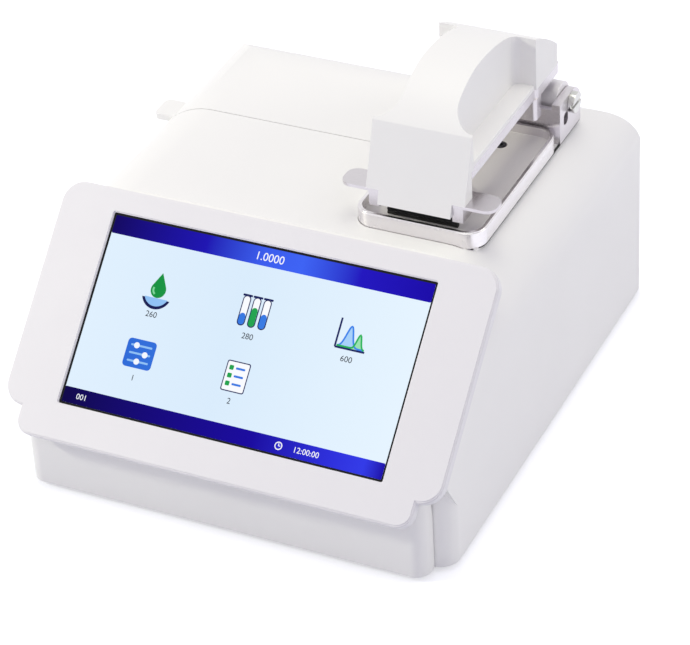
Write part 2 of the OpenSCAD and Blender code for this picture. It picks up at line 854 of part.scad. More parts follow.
// The arm cover's outer form, moved inwards by the inset.
module arm_form(inset) {
    intersection() {
        across(arm_x - arm_w, arm_x + arm_w) arm_side(inset);
        translate([arm_x, 0, 0]) linear_extrude(far) arm_plan(inset);
    }
}

module arm_cover() {
    color(shell_white) at_base() difference() {
        union() {
            arm_form(0);
            // ledges on the frame beside the waist
            block([arm_x - arm_w / 2 + 1, slab_back - 1, frame_top],
                [arm_x + arm_w / 2 - 1, waist_back + 1, frame_top + ledge_t]);
        }
        arm_form(cover_wall);
        // open below: the waist and the tail end on the frame
        block([arm_x - far, slab_back - cover_wall, 0], [arm_x + far, far, frame_top]);
        // the head's sides stop above the ears, its middle drops between their rails
        for (side = [-1, 1]) translate([arm_x + side * (ear_gap + far / 2), 0, 0])
            block([-far / 2, -far, 0], [far / 2, slab_back + 1, ear_z + ear_t]);
    }
}

// Screws from below that hold the lamp on the frame.
module at_lamp_screws() {
    for (side = [-1, 1]) translate([arm_x + side * 5.5, pedestal_y + 15, 0]) children();
}

// Screws from above that hold the frame on the barrel's foot.
module at_barrel_screws() {
    for (side = [-1, 1]) translate([arm_x + side * 7, hinge_y - 3, 0]) children();
}

module arm_frame() {
    half = arm_w / 2;
    color(steel) at_base() difference() {
        union() {
            // plate below the cover
            translate([arm_x, 0, frame_z]) linear_extrude(frame_t) {
                rounded_rect(-half + 1, slab_back, half - 1, leg_y1, 1);
                rounded_rect(-half, leg_y0, half, arm_back, 4);
            }
            // drop to the ears
            block([arm_x - half + cover_wall + fit, slab_back - 3, ear_z],
                [arm_x + half - cover_wall - fit, slab_back + 3, frame_top]);
            // finger ears with their rails
            translate([arm_x, 0, ear_z]) linear_extrude(ear_t)
                rounded_rect(-ear_span / 2, ear_y0, ear_span / 2, ear_y1, 5);
            for (side = [-1, 1]) translate([arm_x + side * (ear_gap + ear_rail_w / 2), 0, 0])
                block([-ear_rail_w / 2, ear_y0, ear_z - ear_rail_h], [ear_rail_w / 2, ear_y1, ear_z + eps]);
            // legs in front of the hinge
            for (side = [-1, 1]) translate([arm_x + side * (half - leg_w / 2), 0, leg_z])
                linear_extrude(frame_z - leg_z + eps) rounded_rect(-leg_w / 2, leg_y0, leg_w / 2, leg_y1, 2);
        }
        // the cover's front passes between the ears
        block([arm_x - ear_gap, -far, 0], [arm_x + ear_gap, ear_y0 + 5, ear_z + ear_t + 1]);
        // bores for pedestal and screws
        translate([arm_x, pedestal_y, frame_z - 1]) cylinder(d = neck_d + 2 * slide, h = frame_t + 2);
        at_lamp_screws() translate([0, 0, frame_z - 1]) cylinder(d = 3 + 2 * slide, h = frame_t + 2);
        at_barrel_screws() translate([0, 0, frame_z - 1]) cylinder(d = 3 + 2 * slide, h = frame_t + 2);
    }
}

module arm_barrel() {
    half = cheek_in - fit;
    color(steel) at_base() difference() {
        union() {
            translate([arm_x - half, hinge_y, hinge_z]) rotate([0, 90, 0])
                cylinder(r = barrel_r, h = 2 * half);
            // flat foot against the frame's underside
            block([arm_x - 11, hinge_y - 7, hinge_z], [arm_x + 11, arm_back - 0.1, frame_z]);
        }
        translate([arm_x - far / 2, hinge_y, hinge_z]) rotate([0, 90, 0])
            cylinder(d = bush_d + 2 * slide, h = far);
        at_barrel_screws() translate([0, 0, frame_z - 6.5]) cylinder(d = 3 + 2 * slide, h = 7);
    }
}

module barrel_bushes() {
    half = cheek_in - fit;
    color([0.72, 0.58, 0.30]) at_base() for (side = [-1, 1])
        translate([arm_x + side * (half - 6), hinge_y, hinge_z]) rotate([0, 90, 0]) difference() {
            cylinder(d = bush_d, h = 12, center = true);
            cylinder(d = pin_d + 2 * slide, h = 14, center = true);
        }
}

module arm_screws() {
    color(dark_steel) at_base() {
        at_lamp_screws() translate([0, 0, frame_z]) rotate([180, 0, 0]) cap_screw(3, frame_t + 6);
        at_barrel_screws() translate([0, 0, frame_top]) cap_screw(3, frame_t + 6);
    }
}

module upper_pedestal() {
    color(dark_steel) at_base() translate([arm_x, pedestal_y, 0]) difference() {
        union() {
            // flange under the frame, neck in its bore, tip above the lower pedestal
            translate([0, 0, frame_z - 3]) cylinder(d = 22, h = 3);
            translate([0, 0, frame_z - eps]) cylinder(d = neck_d, h = frame_t + eps);
            translate([0, 0, pedestal_top + 6]) cylinder(d = pedestal_d, h = frame_z - pedestal_top - 8);
            translate([0, 0, pedestal_top + pedestal_gap]) cylinder(d = 4, h = 6);
        }
        translate([0, 0, pedestal_top - 1]) cylinder(d = 1.2, h = 60);
    }
}

module lamp_module() {
    color(black_plastic) at_base() difference() {
        translate([arm_x, pedestal_y, frame_top + lamp_mount_t]) {
            // round lamp on a square foot, trigger block behind
            linear_extrude(6) rounded_rect(-9, -8, 9, 22, 2);
            difference() {
                cylinder(d = 15, h = 20);
                translate([0, 0, 14]) cylinder(d = 11, h = 8);
            }
            translate([-8, 9, 6 - eps]) cube([16, 12, 12]);
        }
        at_lamp_screws() translate([0, 0, frame_top]) cylinder(d = 3 + 2 * slide, h = 6.5);
    }
}

module lamp_mount() {
    color(steel) at_base() difference() {
        translate([arm_x, pedestal_y, frame_top]) linear_extrude(lamp_mount_t)
            rounded_rect(-9.5, -9, 9.5, 30, 3);
        translate([arm_x, pedestal_y, frame_top - 1]) cylinder(d = 8, h = lamp_mount_t + 2);
        at_lamp_screws() translate([0, 0, frame_top - 1]) cylinder(d = 3 + 2 * slide, h = lamp_mount_t + 2);
    }
}

// Cuvette bay

module cuvette_lid() {
    color(shell_white) at_base() {
        difference() {
            union() {
                difference() {
                    intersection() {
                        housing_form(0);
                        lid_space(0);
                    }
                    // hollow below
                    intersection() {
                        housing_form(lid_wall);
                        block([-body_w, lid_front + lid_wall, 0],
                            [lid_right - lid_wall, far, far]);
                    }
                }
                lid_barrels();
            }
            lid_pin_bores();
        }
        lid_tab();
    }
}

// Barrels of the lid, joined to its rear edge.
module lid_barrels() {
    for (x = lid_hinge_x()) {
        translate([x - lid_barrel_w / 2, lid_hinge_y, lid_hinge_z]) rotate([0, 90, 0])
            cylinder(d = lid_barrel_d, h = lid_barrel_w);
        // leaf from the lid's rear edge, turned down to the barrel
        block([x - lid_barrel_w / 2, lid_hinge_y - leaf_reach, lid_low],
            [x + lid_barrel_w / 2, lid_hinge_y + lid_barrel_d / 2, lid_low + lid_leaf_t]);
        block([x - lid_barrel_w / 2, lid_hinge_y - leaf_turn, lid_hinge_z],
            [x + lid_barrel_w / 2, lid_hinge_y + lid_barrel_d / 2, lid_low + eps]);
    }
}

// Finger tab on the lid's left shoulder.
module lid_tab() {
    translate([0, 0, body_h - 14]) linear_extrude(3)
        rounded_rect(-body_w / 2 - 2.5, lid_front + 4, -body_w / 2 + 10, lid_front + 4 + tab_w, 3);
}

module lid_pins() {
    color(steel) at_base() for (x = lid_hinge_x()) translate([x - lid_pin_l / 2, lid_hinge_y, lid_hinge_z])
        rotate([0, 90, 0]) cylinder(d = lid_pin_d - 2 * slide, h = lid_pin_l);
}

module cuvette_holder() {
    color(black_plastic) at_base() translate([bay_x, bay_y, 0]) difference() {
        union() {
            translate([0, 0, lid_low - lid_gap]) linear_extrude(2) rounded_rect(-20, -20, 20, 20, 3);
            translate([0, 0, lid_low - lid_gap - 42]) linear_extrude(42 + eps)
                rounded_rect(-15, -15, 15, 15, 2);
        }
        // square well for a cuvette and the light path through it
        translate([-6.25, -6.25, lid_low - lid_gap - 38]) cube([12.5, 12.5, 60]);
        translate([-30, 0, lid_low - lid_gap - 28]) rotate([0, 90, 0]) cylinder(d = 5, h = 60);
    }
}

// Rear panel

// Outline of the rear panel, moved inwards by the inset.
module panel_outline(inset) {
    half_w = panel_w / 2 - inset;
    half_h = panel_h / 2 - inset;
    rounded_rect(-half_w, panel_z - half_h, half_w, panel_z + half_h, 4);
}

module rear_panel() {
    color([0.80, 0.80, 0.81]) at_base() difference() {
        union() {
            // flange behind the housing's wall and raised field in its opening
            along(body_back - wall - panel_t, body_back - wall) panel_outline(-5);
            along(body_back - wall - eps, body_back - 1) panel_outline(fit);
        }
        // openings for the fittings
        panel_hole(inlet_x, 28, 21);
        panel_hole(switch_x, rocker_w + 4, rocker_h + 4);
        for (i = [0, 1]) panel_hole(usb_x + i * usb_pitch, 15, 8);
        // air slots
        for (i = [0:4]) panel_hole(-66 + i * 5, 2.4, 24);
    }
}

// A rectangular hole through the rear panel.
module panel_hole(x, w, h) {
    along(body_back - 20, body_back + 20) translate([x - w / 2, panel_z - h / 2]) square([w, h]);
}

module power_inlet() {
    color(black_plastic) at_base() difference() {
        union() {
            along(body_back - 24, body_back - 1) translate([inlet_x, panel_z])
                rounded_rect(-14 + fit, -10.5 + fit, 14 - fit, 10.5 - fit, 2);
            along(body_back - 1, body_back + 1) translate([inlet_x, panel_z])
                rounded_rect(-17, -13, 17, 13, 3);
        }
        // socket with keyed upper corners
        along(body_back - 18, body_back + 2) translate([inlet_x, panel_z])
            polygon([[-11.8, -7.6], [11.8, -7.6], [11.8, 3], [7, 7.6], [-7, 7.6], [-11.8, 3]]);
    }
    // the middle blade stands higher than the outer two
    color(steel) at_base() for (i = [-1:1])
        translate([inlet_x + 7 * i - 0.9, body_back - 18 - eps, panel_z + 0.6 - 3.4 * abs(i)])
            cube([1.8, 13, 4]);
}

module usb_sockets() {
    color(steel) at_base() for (i = [0, 1]) translate([usb_x + i * usb_pitch, 0, panel_z]) {
        difference() {
            along(body_back - 18, body_back - 0.6) translate([-7.3, -3.8]) square([14.6, 7.6]);
            along(body_back - 12, body_back) translate([-6.4, -2.9]) square([12.8, 5.8]);
        }
        // tongue with the contacts
        along(body_back - 12 - eps, body_back - 3) translate([-5.4, 0]) square([10.8, 1.8]);
    }
}

module switch_frame() {
    color(black_plastic) at_base() difference() {
        union() {
            along(body_back - 1, body_back + 0.8) translate([switch_x, panel_z])
                rounded_rect(-rocker_w / 2 - 4, -rocker_h / 2 - 4, rocker_w / 2 + 4, rocker_h / 2 + 4, 2);
            along(body_back - 18, body_back - 1 + eps) translate([switch_x, panel_z])
                square([rocker_w + 4 - 2 * fit, rocker_h + 4 - 2 * fit], center = true);
        }
        along(body_back - 13, body_back + 2) translate([switch_x, panel_z])
            square([rocker_w + 1, rocker_h + 1], center = true);
        at_rocker_pivot() cylinder(d = rocker_pin_d + 2 * slide, h = rocker_w + 2.4, center = true);
    }
}

// Puts round pieces across the rocker's pivot.
module at_rocker_pivot() {
    translate([switch_x, body_back - 5, panel_z]) rotate([0, 90, 0]) children();
}

module switch_rocker() {
    half = rocker_h / 2;
    color(black_plastic) at_base() {
        // hollow face in two slopes, resting with its lower half pressed in
        translate([switch_x, body_back - 5, panel_z]) rotate([-rocker_tilt, 0, 0])
            across(-rocker_w / 2, rocker_w / 2) polygon([[-3, -half + 1.2], [6.4, -half + 0.6], [4.6, 0],
                [6.4, half - 0.6], [-3, half - 1.2]]);
        at_rocker_pivot() cylinder(d = rocker_pin_d, h = rocker_w + 2, center = true);
    }
}

main_shell();
base_plinth();
screen_bezel();
touch_glass();
lcd_panel();
lcd_bracket();
main_board();
power_board();
spectrometer();
light_fibre();
sample_tray();
tray_screws();
lower_pedestal();
pedestal_seal();
hinge_bracket();
bracket_screws();
hinge_pin();
arm_frame();
arm_cover();
arm_barrel();
barrel_bushes();
arm_screws();
upper_pedestal();
lamp_module();
lamp_mount();
cuvette_lid();
lid_pins();
cuvette_holder();
rear_panel();
power_inlet();
usb_sockets();
switch_frame();
switch_rocker();
feet();
housing_screws();
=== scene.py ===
"""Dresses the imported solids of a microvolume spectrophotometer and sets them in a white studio.

Lengths in this file are millimetres until they reach Blender, which works in metres in the solids' own
frame: +Z is up, -Y is the front where the display faces, +X is the right-hand side.
"""

import logging
import math
from dataclasses import dataclass
from enum import Enum

import bmesh
import bpy
from mathutils import Matrix, Vector
from mathutils.bvhtree import BVHTree


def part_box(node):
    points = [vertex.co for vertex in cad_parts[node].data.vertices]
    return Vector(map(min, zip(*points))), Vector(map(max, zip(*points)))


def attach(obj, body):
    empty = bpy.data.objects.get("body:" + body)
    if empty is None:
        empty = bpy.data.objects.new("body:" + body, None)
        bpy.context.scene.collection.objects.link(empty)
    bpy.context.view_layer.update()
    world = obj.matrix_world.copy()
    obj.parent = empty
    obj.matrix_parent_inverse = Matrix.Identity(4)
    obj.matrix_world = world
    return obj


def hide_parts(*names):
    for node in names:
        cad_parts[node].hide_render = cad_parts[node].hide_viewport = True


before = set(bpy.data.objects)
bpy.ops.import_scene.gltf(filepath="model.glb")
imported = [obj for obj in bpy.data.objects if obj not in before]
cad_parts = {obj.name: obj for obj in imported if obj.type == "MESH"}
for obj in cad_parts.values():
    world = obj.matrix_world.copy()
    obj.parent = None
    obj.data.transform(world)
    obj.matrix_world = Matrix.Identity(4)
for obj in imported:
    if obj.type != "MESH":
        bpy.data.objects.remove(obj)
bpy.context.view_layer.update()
log = logging.getLogger("spectrophotometer")

MM = 0.001
# points closer than this are one point
WELD = 0.001 * MM
# faces that meet at less than this many degrees are one flat face
FLAT_TURN = 0.3
# rounded edges shade softly, and edges that turn by this many degrees more stay crisp
CRISP_MARGIN = 8
# how far large faces win over small ones in the shading, where 50 is even
LARGE_FACE_WEIGHT = 60
# edges of a swept strip that turn by more than this many degrees stay crisp
STRIP_TURN = 60
# keeps a corner's radius below half of the width that it rounds
HAIR = 0.01
# Blender's wave texture multiplies its coordinate by this
WAVE_FACTOR = 20
# height of a figure against the size of Blender's own font
FIGURE_SHARE = 0.7
Point = tuple[float, float]
Outline = list[Point]


# Colours and shader nodes


def linear(colour: str) -> tuple[float, float, float, float]:
    """Turns an sRGB hex colour into the linear values that the shaders work in.

    Args:
        colour: Six hex digits after a hash sign.

    Returns:
        Red, green and blue in linear light, and an opacity of one.
    """
    parts = []
    for start in (1, 3, 5):
        value = int(colour[start:start + 2], 16) / 255
        parts.append(value / 12.92 if value <= 0.04045 else ((value + 0.055) / 1.055) ** 2.4)
    return (parts[0], parts[1], parts[2], 1.0)


def add_node(tree: bpy.types.NodeTree, kind: str, sockets: dict[str | int, object] | None = None,
             **settings: object) -> bpy.types.Node:
    """Adds one shader node, sets its properties and fills its input sockets.

    Args:
        tree: The node tree of a material or of the world.
        kind: The node's type without the leading "ShaderNode".
        sockets: Input names or numbers, each with a constant or with the output socket that feeds it.
        settings: Properties of the node, by name.

    Returns:
        The new node.
    """
    node = tree.nodes.new("ShaderNode" + kind)
    for name, value in settings.items():
        setattr(node, name, value)
    for name, value in (sockets or {}).items():
        if isinstance(value, bpy.types.NodeSocket):
            tree.links.new(value, node.inputs[name])
        else:
            node.inputs[name].default_value = value
    return node


def per_metre(size: float) -> float:
    """Returns the texture scale that makes a pattern repeat every size millimetres."""
    return 1 / (size * MM)


# Finishes


@dataclass(frozen=True)
class Finish:
    """A surface: what the material is and how its surface was made.

    Attributes:
        name: Name of the material.
        slot: The record's material slot that pieces with this finish belong to; not used in this script.
    """

    name: str
    slot: str

    def material(self) -> bpy.types.Material:
        """Returns the finish's material, which is made on first use."""
        found = bpy.data.materials.get(self.name)
        if found is not None:
            return found
        material = bpy.data.materials.new(self.name)
        material.use_nodes = True
        tree = material.node_tree
        tree.nodes.clear()
        shader = add_node(tree, "BsdfPrincipled")
        add_node(tree, "OutputMaterial", {"Surface": shader.outputs["BSDF"]})
        self.dress(tree, shader)
        return material

    def dress(self, tree: bpy.types.NodeTree, shader: bpy.types.Node) -> None:
        """Adds the finish's own nodes.

        Args:
            tree: The material's node tree.
            shader: Its principled shader.
        """
        raise NotImplementedError


@dataclass(frozen=True)
class MouldedPlastic(Finish):
    """Opaque plastic with a fine grain: mouldings from a spark-eroded tool, baked coats and printed ink.

    Attributes:
        light: Colour of the clean surface.
        shade: Colour of its faint clouds.
        roughness: Middle of the roughness.
        grain: Size of the grain.
        depth: Height of the grain.
        clouds: Size of the clouds of colour.
        patches: Size of the patches that are a little more or less glossy.
        ior: Index of refraction, as ABS has it.
    """

    light: str
    shade: str
    roughness: float = 0.42
    grain: float = 0.6
    depth: float = 0.012
    clouds: float = 70.0
    patches: float = 25.0
    ior: float = 1.53

    def dress(self, tree: bpy.types.NodeTree, shader: bpy.types.Node) -> None:
        """Adds clouds of colour, the grain and a slow change of gloss.

        Args:
            tree: The material's node tree.
            shader: Its principled shader.
        """
        place = add_node(tree, "TexCoord").outputs["Object"]
        clouds = add_node(tree, "TexNoise", {"Vector": place, "Scale": per_metre(self.clouds),
                                             "Detail": 2.0})
        colour = add_node(tree, "Mix", {0: clouds.outputs["Fac"], 6: linear(self.light),
                                        7: linear(self.shade)}, data_type="RGBA")
        gloss = add_node(tree, "TexNoise", {"Vector": place, "Scale": per_metre(self.patches),
                                            "Detail": 3.0})
        roughness = add_node(tree, "MapRange", {"Value": gloss.outputs["Fac"],
                                                "From Min": 0.3, "From Max": 0.7,
                                                "To Min": self.roughness - 0.04,
                                                "To Max": self.roughness + 0.05})
        # the real grain is near a quarter of a millimetre and is drawn coarser so that it shows
        grain = add_node(tree, "TexNoise", {"Vector": place, "Scale": per_metre(self.grain), "Detail": 2.0})
        bump = add_node(tree, "Bump", {"Height": grain.outputs["Fac"], "Distance": self.depth * MM,
                                       "Strength": 0.6})
        tree.links.new(colour.outputs[2], shader.inputs["Base Color"])
        tree.links.new(roughness.outputs["Result"], shader.inputs["Roughness"])
        tree.links.new(bump.outputs["Normal"], shader.inputs["Normal"])
        shader.inputs["IOR"].default_value = self.ior


class Working(Enum):
    """How a metal's surface was worked; the value is the stretch of its marks along x, y and z."""

    BRUSHED_ALONG_X = (0.03, 1.0, 1.0)
    BRUSHED_ALONG_Y = (1.0, 0.03, 1.0)
    TURNED = (0.2, 0.2, 1.0)
    BLASTED = (1.0, 1.0, 1.0)


@dataclass(frozen=True)
class WorkedMetal(Finish):
    """Bare metal that shows the marks of brushing, turning or bead blasting.

    Attributes:
        light: Colour of the bright metal.
        shade: Colour in the marks.
        working: How the surface was worked.
        mark: Width of one mark.
        gloss: Lowest roughness.
        haze: Highest roughness.
        depth: Depth of the marks.
        metallic: One for a clear mirror image, less where a blasted surface scatters light as paint does.
        handling: Size of the patches that handling has dulled.
    """

    light: str
    shade: str
    working: Working
    mark: float = 0.4
    gloss: float = 0.16
    haze: float = 0.3
    depth: float = 0.004
    metallic: float = 1.0
    handling: float = 18.0

    def dress(self, tree: bpy.types.NodeTree, shader: bpy.types.Node) -> None:
        """Adds working marks to colour, gloss and relief.

        Args:
            tree: The material's node tree.
            shader: Its principled shader.
        """
        place = add_node(tree, "TexCoord").outputs["Object"]
        stretched = add_node(tree, "Mapping", {"Vector": place, "Scale": self.working.value})
        marks = add_node(tree, "TexNoise", {"Vector": stretched.outputs["Vector"],
                                            "Scale": per_metre(self.mark), "Detail": 3.0})
        handling = add_node(tree, "TexNoise", {"Vector": place, "Scale": per_metre(self.handling),
                                               "Detail": 2.0})
        mixed = add_node(tree, "Math", {0: marks.outputs["Fac"], 1: handling.outputs["Fac"]},
                         operation="MULTIPLY")
        colour = add_node(tree, "Mix", {0: marks.outputs["Fac"], 6: linear(self.light),
                                        7: linear(self.shade)}, data_type="RGBA")
        roughness = add_node(tree, "MapRange", {"Value": mixed.outputs["Value"],
                                                "From Min": 0.1, "From Max": 0.4,
                                                "To Min": self.gloss, "To Max": self.haze})
        bump = add_node(tree, "Bump", {"Height": marks.outputs["Fac"], "Distance": self.depth * MM,
                                       "Strength": 0.5})
        tree.links.new(colour.outputs[2], shader.inputs["Base Color"])
        tree.links.new(roughness.outputs["Result"], shader.inputs["Roughness"])
        tree.links.new(bump.outputs["Normal"], shader.inputs["Normal"])
        shader.inputs["Metallic"].default_value = self.metallic


@dataclass(frozen=True)
class MouldedRubber(Finish):
    """Compression-moulded rubber: dull, slightly dusty black with a fine pebble.

    Attributes:
        light: Colour of the dusty high spots.
        shade: Colour of the rubber.
        dust: Size of the dusty patches.
        pebble: Size of the pebble.
        depth: Height of the pebble.
    """

    light: str
    shade: str
    dust: float = 6.0
    pebble: float = 0.8
    depth: float = 0.03

    def dress(self, tree: bpy.types.NodeTree, shader: bpy.types.Node) -> None:
        """Adds dust and pebble.

        Args:
            tree: The material's node tree.
            shader: Its principled shader.
        """
        place = add_node(tree, "TexCoord").outputs["Object"]
        dust = add_node(tree, "TexNoise", {"Vector": place, "Scale": per_metre(self.dust), "Detail": 4.0})
        colour = add_node(tree, "Mix", {0: dust.outputs["Fac"], 6: linear(self.shade),
                                        7: linear(self.light)}, data_type="RGBA")
        pebble = add_node(tree, "TexVoronoi", {"Vector": place, "Scale": per_metre(self.pebble)})
        bump = add_node(tree, "Bump", {"Height": pebble.outputs["Distance"], "Distance": self.depth * MM,
                                       "Strength": 0.5})
        tree.links.new(colour.outputs[2], shader.inputs["Base Color"])
        tree.links.new(bump.outputs["Normal"], shader.inputs["Normal"])
        shader.inputs["Roughness"].default_value = 0.75
        shader.inputs["IOR"].default_value = 1.52


@dataclass(frozen=True)
class SolderResist(Finish):
    """Circuit board under green lacquer, with copper tracks that show through it as lighter lines.

    Attributes:
        lacquer: Colour of the lacquer on bare board.
        track: Colour of the lacquer over copper.
        pitch: Spacing of the tracks.
        depth: Height of the tracks under the lacquer.
    """

    lacquer: str
    track: str
    pitch: float = 4.0
    depth: float = 0.05

    def dress(self, tree: bpy.types.NodeTree, shader: bpy.types.Node) -> None:
        """Adds the raised tracks.

        Args:
            tree: The material's node tree.
            shader: Its principled shader.
        """
        place = add_node(tree, "TexCoord").outputs["Object"]
        tracks = add_node(tree, "TexBrick", {"Vector": place, "Scale": per_metre(self.pitch * 2),
                                             "Mortar Size": 0.03, "Color1": linear(self.lacquer),
                                             "Color2": linear(self.lacquer), "Mortar": linear(self.track)})
        bump = add_node(tree, "Bump", {"Height": tracks.outputs["Fac"], "Distance": self.depth * MM,
                                       "Strength": 0.4})
        tree.links.new(tracks.outputs["Color"], shader.inputs["Base Color"])
        tree.links.new(bump.outputs["Normal"], shader.inputs["Normal"])
        shader.inputs["Roughness"].default_value = 0.3
        shader.inputs["Coat Weight"].default_value = 0.4


@dataclass(frozen=True)
class BackedGlass(Finish):
    """Chemically hardened cover glass with black ink behind it: a deep black with a sharp reflection.

    Attributes:
        ink: Colour of the black ink.
        sheen: Colour of the ink where it is thinner.
        patches: Size of the thinner patches.
        smears: Size of the smears.
        clear: Roughness of the clear glass.
        smeared: Roughness in the smears.
    """

    ink: str
    sheen: str
    patches: float = 30.0
    smears: float = 14.0
    clear: float = 0.05
    smeared: float = 0.14

    def dress(self, tree: bpy.types.NodeTree, shader: bpy.types.Node) -> None:
        """Adds the ink's faint unevenness and the smears of a wiped glass.

        Args:
            tree: The material's node tree.
            shader: Its principled shader.
        """
        place = add_node(tree, "TexCoord").outputs["Object"]
        cover = add_node(tree, "TexNoise", {"Vector": place, "Scale": per_metre(self.patches),
                                            "Detail": 2.0})
        colour = add_node(tree, "Mix", {0: cover.outputs["Fac"], 6: linear(self.ink),
                                        7: linear(self.sheen)}, data_type="RGBA")
        smears = add_node(tree, "TexNoise", {"Vector": place, "Scale": per_metre(self.smears),
                                             "Detail": 5.0})
        roughness = add_node(tree, "MapRange", {"Value": smears.outputs["Fac"],
                                                "From Min": 0.4, "From Max": 0.8,
                                                "To Min": self.clear, "To Max": self.smeared})
        tree.links.new(colour.outputs[2], shader.inputs["Base Color"])
        tree.links.new(roughness.outputs["Result"], shader.inputs["Roughness"])
        shader.inputs["IOR"].default_value = 1.5
        # the glass is coated against reflections
        shader.inputs["Specular IOR Level"].default_value = 0.2


@dataclass(frozen=True)
class ScreenLight(Finish):
    """Light of a liquid-crystal screen behind polished glass.

    Attributes:
        stops: Places from nought to one across the area, each with its colour.
        streak: Colour of broad soft streaks.
        streaks: Strength of the streaks, nought for none.
        streak_width: Spacing of the streaks.
        streak_lean: Their slant in degrees.
    """

    stops: tuple[tuple[float, str], ...]
    streak: str = "#0F0455"
    streaks: float = 0.0
    streak_width: float = 60.0
    streak_lean: float = -52.0

    def dress(self, tree: bpy.types.NodeTree, shader: bpy.types.Node) -> None:
        """Adds the run of colours and the streaks, as emitted light.

        Args:
            tree: The material's node tree.
            shader: Its principled shader.
        """
        places = add_node(tree, "TexCoord").outputs
        across = add_node(tree, "SeparateXYZ", {"Vector": places["Generated"]}).outputs["X"]
        ramp = add_node(tree, "ValToRGB", {"Fac": across})
        row = ramp.color_ramp.elements
        while len(row) < len(self.stops):
            row.new(0.5)
        for element, (position, colour) in zip(row, self.stops):
            element.position = position
            element.color = linear(colour)
        lean = (0.0, math.radians(self.streak_lean), 0.0)
        tilt = add_node(tree, "Mapping", {"Vector": places["Object"], "Rotation": lean})
        spacing = per_metre(self.streak_width) / WAVE_FACTOR
        wave = add_node(tree, "TexWave", {"Vector": tilt.outputs["Vector"], "Scale": spacing,
                                          "Distortion": 2.5, "Detail": 1.0, "Detail Scale": 0.6})
        amount = add_node(tree, "Math", {0: wave.outputs["Fac"], 1: self.streaks}, operation="MULTIPLY")
        colour = add_node(tree, "Mix", {0: amount.outputs["Value"], 6: ramp.outputs["Color"],
                                        7: linear(self.streak)}, data_type="RGBA")
        tree.links.new(colour.outputs[2], shader.inputs["Emission Color"])
        shader.inputs["Emission Strength"].default_value = 1.0
        shader.inputs["Base Color"].default_value = linear("#050508")
        shader.inputs["Roughness"].default_value = 0.12
        # the glass in front is coated against reflections
        shader.inputs["Specular IOR Level"].default_value = 0.02


@dataclass(frozen=True)
class FloorVinyl(Finish):
    """Matt white studio vinyl, rolled out under the object.

    Attributes:
        light: Colour of the clean vinyl.
        shade: Colour of its faint clouds.
        glow: Light that it adds where the camera sees it, so that it reaches white between the shadows.
        clouds: Size of the clouds.
        grain: Size of the vinyl's grain.
        depth: Height of the grain.
    """

    light: str
    shade: str
    glow: float
    clouds: float = 400.0
    grain: float = 1.5
    depth: float = 0.02

    def dress(self, tree: bpy.types.NodeTree, shader: bpy.types.Node) -> None:
        """Adds clouds, a fine grain and the white of a lit backdrop.

        Args:
            tree: The material's node tree.
            shader: Its principled shader.
        """
        place = add_node(tree, "TexCoord").outputs["Object"]
        clouds = add_node(tree, "TexNoise", {"Vector": place, "Scale": per_metre(self.clouds),
                                             "Detail": 2.0})
        colour = add_node(tree, "Mix", {0: clouds.outputs["Fac"], 6: linear(self.light),
                                        7: linear(self.shade)}, data_type="RGBA")
        grain = add_node(tree, "TexNoise", {"Vector": place, "Scale": per_metre(self.grain), "Detail": 2.0})
        bump = add_node(tree, "Bump", {"Height": grain.outputs["Fac"], "Distance": self.depth * MM,
                                       "Strength": 0.3})
        glow = add_node(tree, "Math", {0: seen_directly(tree), 1: self.glow}, operation="MULTIPLY")
        tree.links.new(colour.outputs[2], shader.inputs["Base Color"])
        tree.links.new(bump.outputs["Normal"], shader.inputs["Normal"])
        tree.links.new(glow.outputs["Value"], shader.inputs["Emission Strength"])
        shader.inputs["Emission Color"].default_value = (1.0, 1.0, 1.0, 1.0)
        shader.inputs["Roughness"].default_value = 0.9
        shader.inputs["Specular IOR Level"].default_value = 0.1


def seen_directly(tree: bpy.types.NodeTree) -> bpy.types.NodeSocket:
    """Tells what the camera sees, straight or in a mirror or glass, from other light.

    Args:
        tree: The node tree of a material or of the world.

    Returns:
        A socket that is one for camera, mirror and glass rays and nought for the rest.
    """
    path = add_node(tree, "LightPath").outputs
    mirrored = add_node(tree, "Math", {0: path["Is Glossy Ray"], 1: path["Is Transmission Ray"]},
                        operation="MAXIMUM")
    seen = add_node(tree, "Math", {0: path["Is Camera Ray"], 1: mirrored.outputs["Value"]},
                    operation="MAXIMUM")
    return seen.outputs["Value"]


# ABS moulded in a spark-eroded tool: soft white with a dull, even gloss
HOUSING_ABS = MouldedPlastic("abs_white_moulded", "shell_abs", "#F3F2F0", "#EFEEED")
# the same plastic from a finer tool, smoother, and painted a little greyer and cooler as shade on its
# tilted face
BEZEL_ABS_SHADED = MouldedPlastic("abs_bezel_shaded", "bezel_abs", "#E8E6E9", "#E4E2E6", roughness=0.36,
                           depth=0.006)
# glass-filled nylon in black: dull, with a coarse grain
BLACK_NYLON = MouldedPlastic("nylon_black_moulded", "black_plastic", "#17171A", "#1F1F22", roughness=0.5,
                             grain=0.8, depth=0.03)
# stainless steel pressed and polished along its length: long faint lines in a bright mirror
TRAY_STEEL = WorkedMetal("stainless_steel_polished", "polished_steel", "#F0EDEF", "#E2DFE2",
                         Working.BRUSHED_ALONG_Y, mark=0.5, gloss=0.18, haze=0.32)
# the same steel, bead blasted on the tray's floor: dull, without a mirror image, and pale partly from the
# blasting and partly as painted light against the shade that the arm casts there
FLOOR_STEEL_LIT = WorkedMetal("stainless_steel_blasted_lit", "polished_steel", "#FAF7F5", "#F0ECEA",
                          Working.BLASTED, mark=0.35, gloss=0.5, haze=0.65, depth=0.01, metallic=0.1)
# stainless steel from the lathe: bright, with fine rings
TURNED_STEEL = WorkedMetal("stainless_steel_turned", "polished_steel", "#DCDCDA", "#B9B9B7", Working.TURNED,
                           mark=0.25, gloss=0.1, haze=0.22)
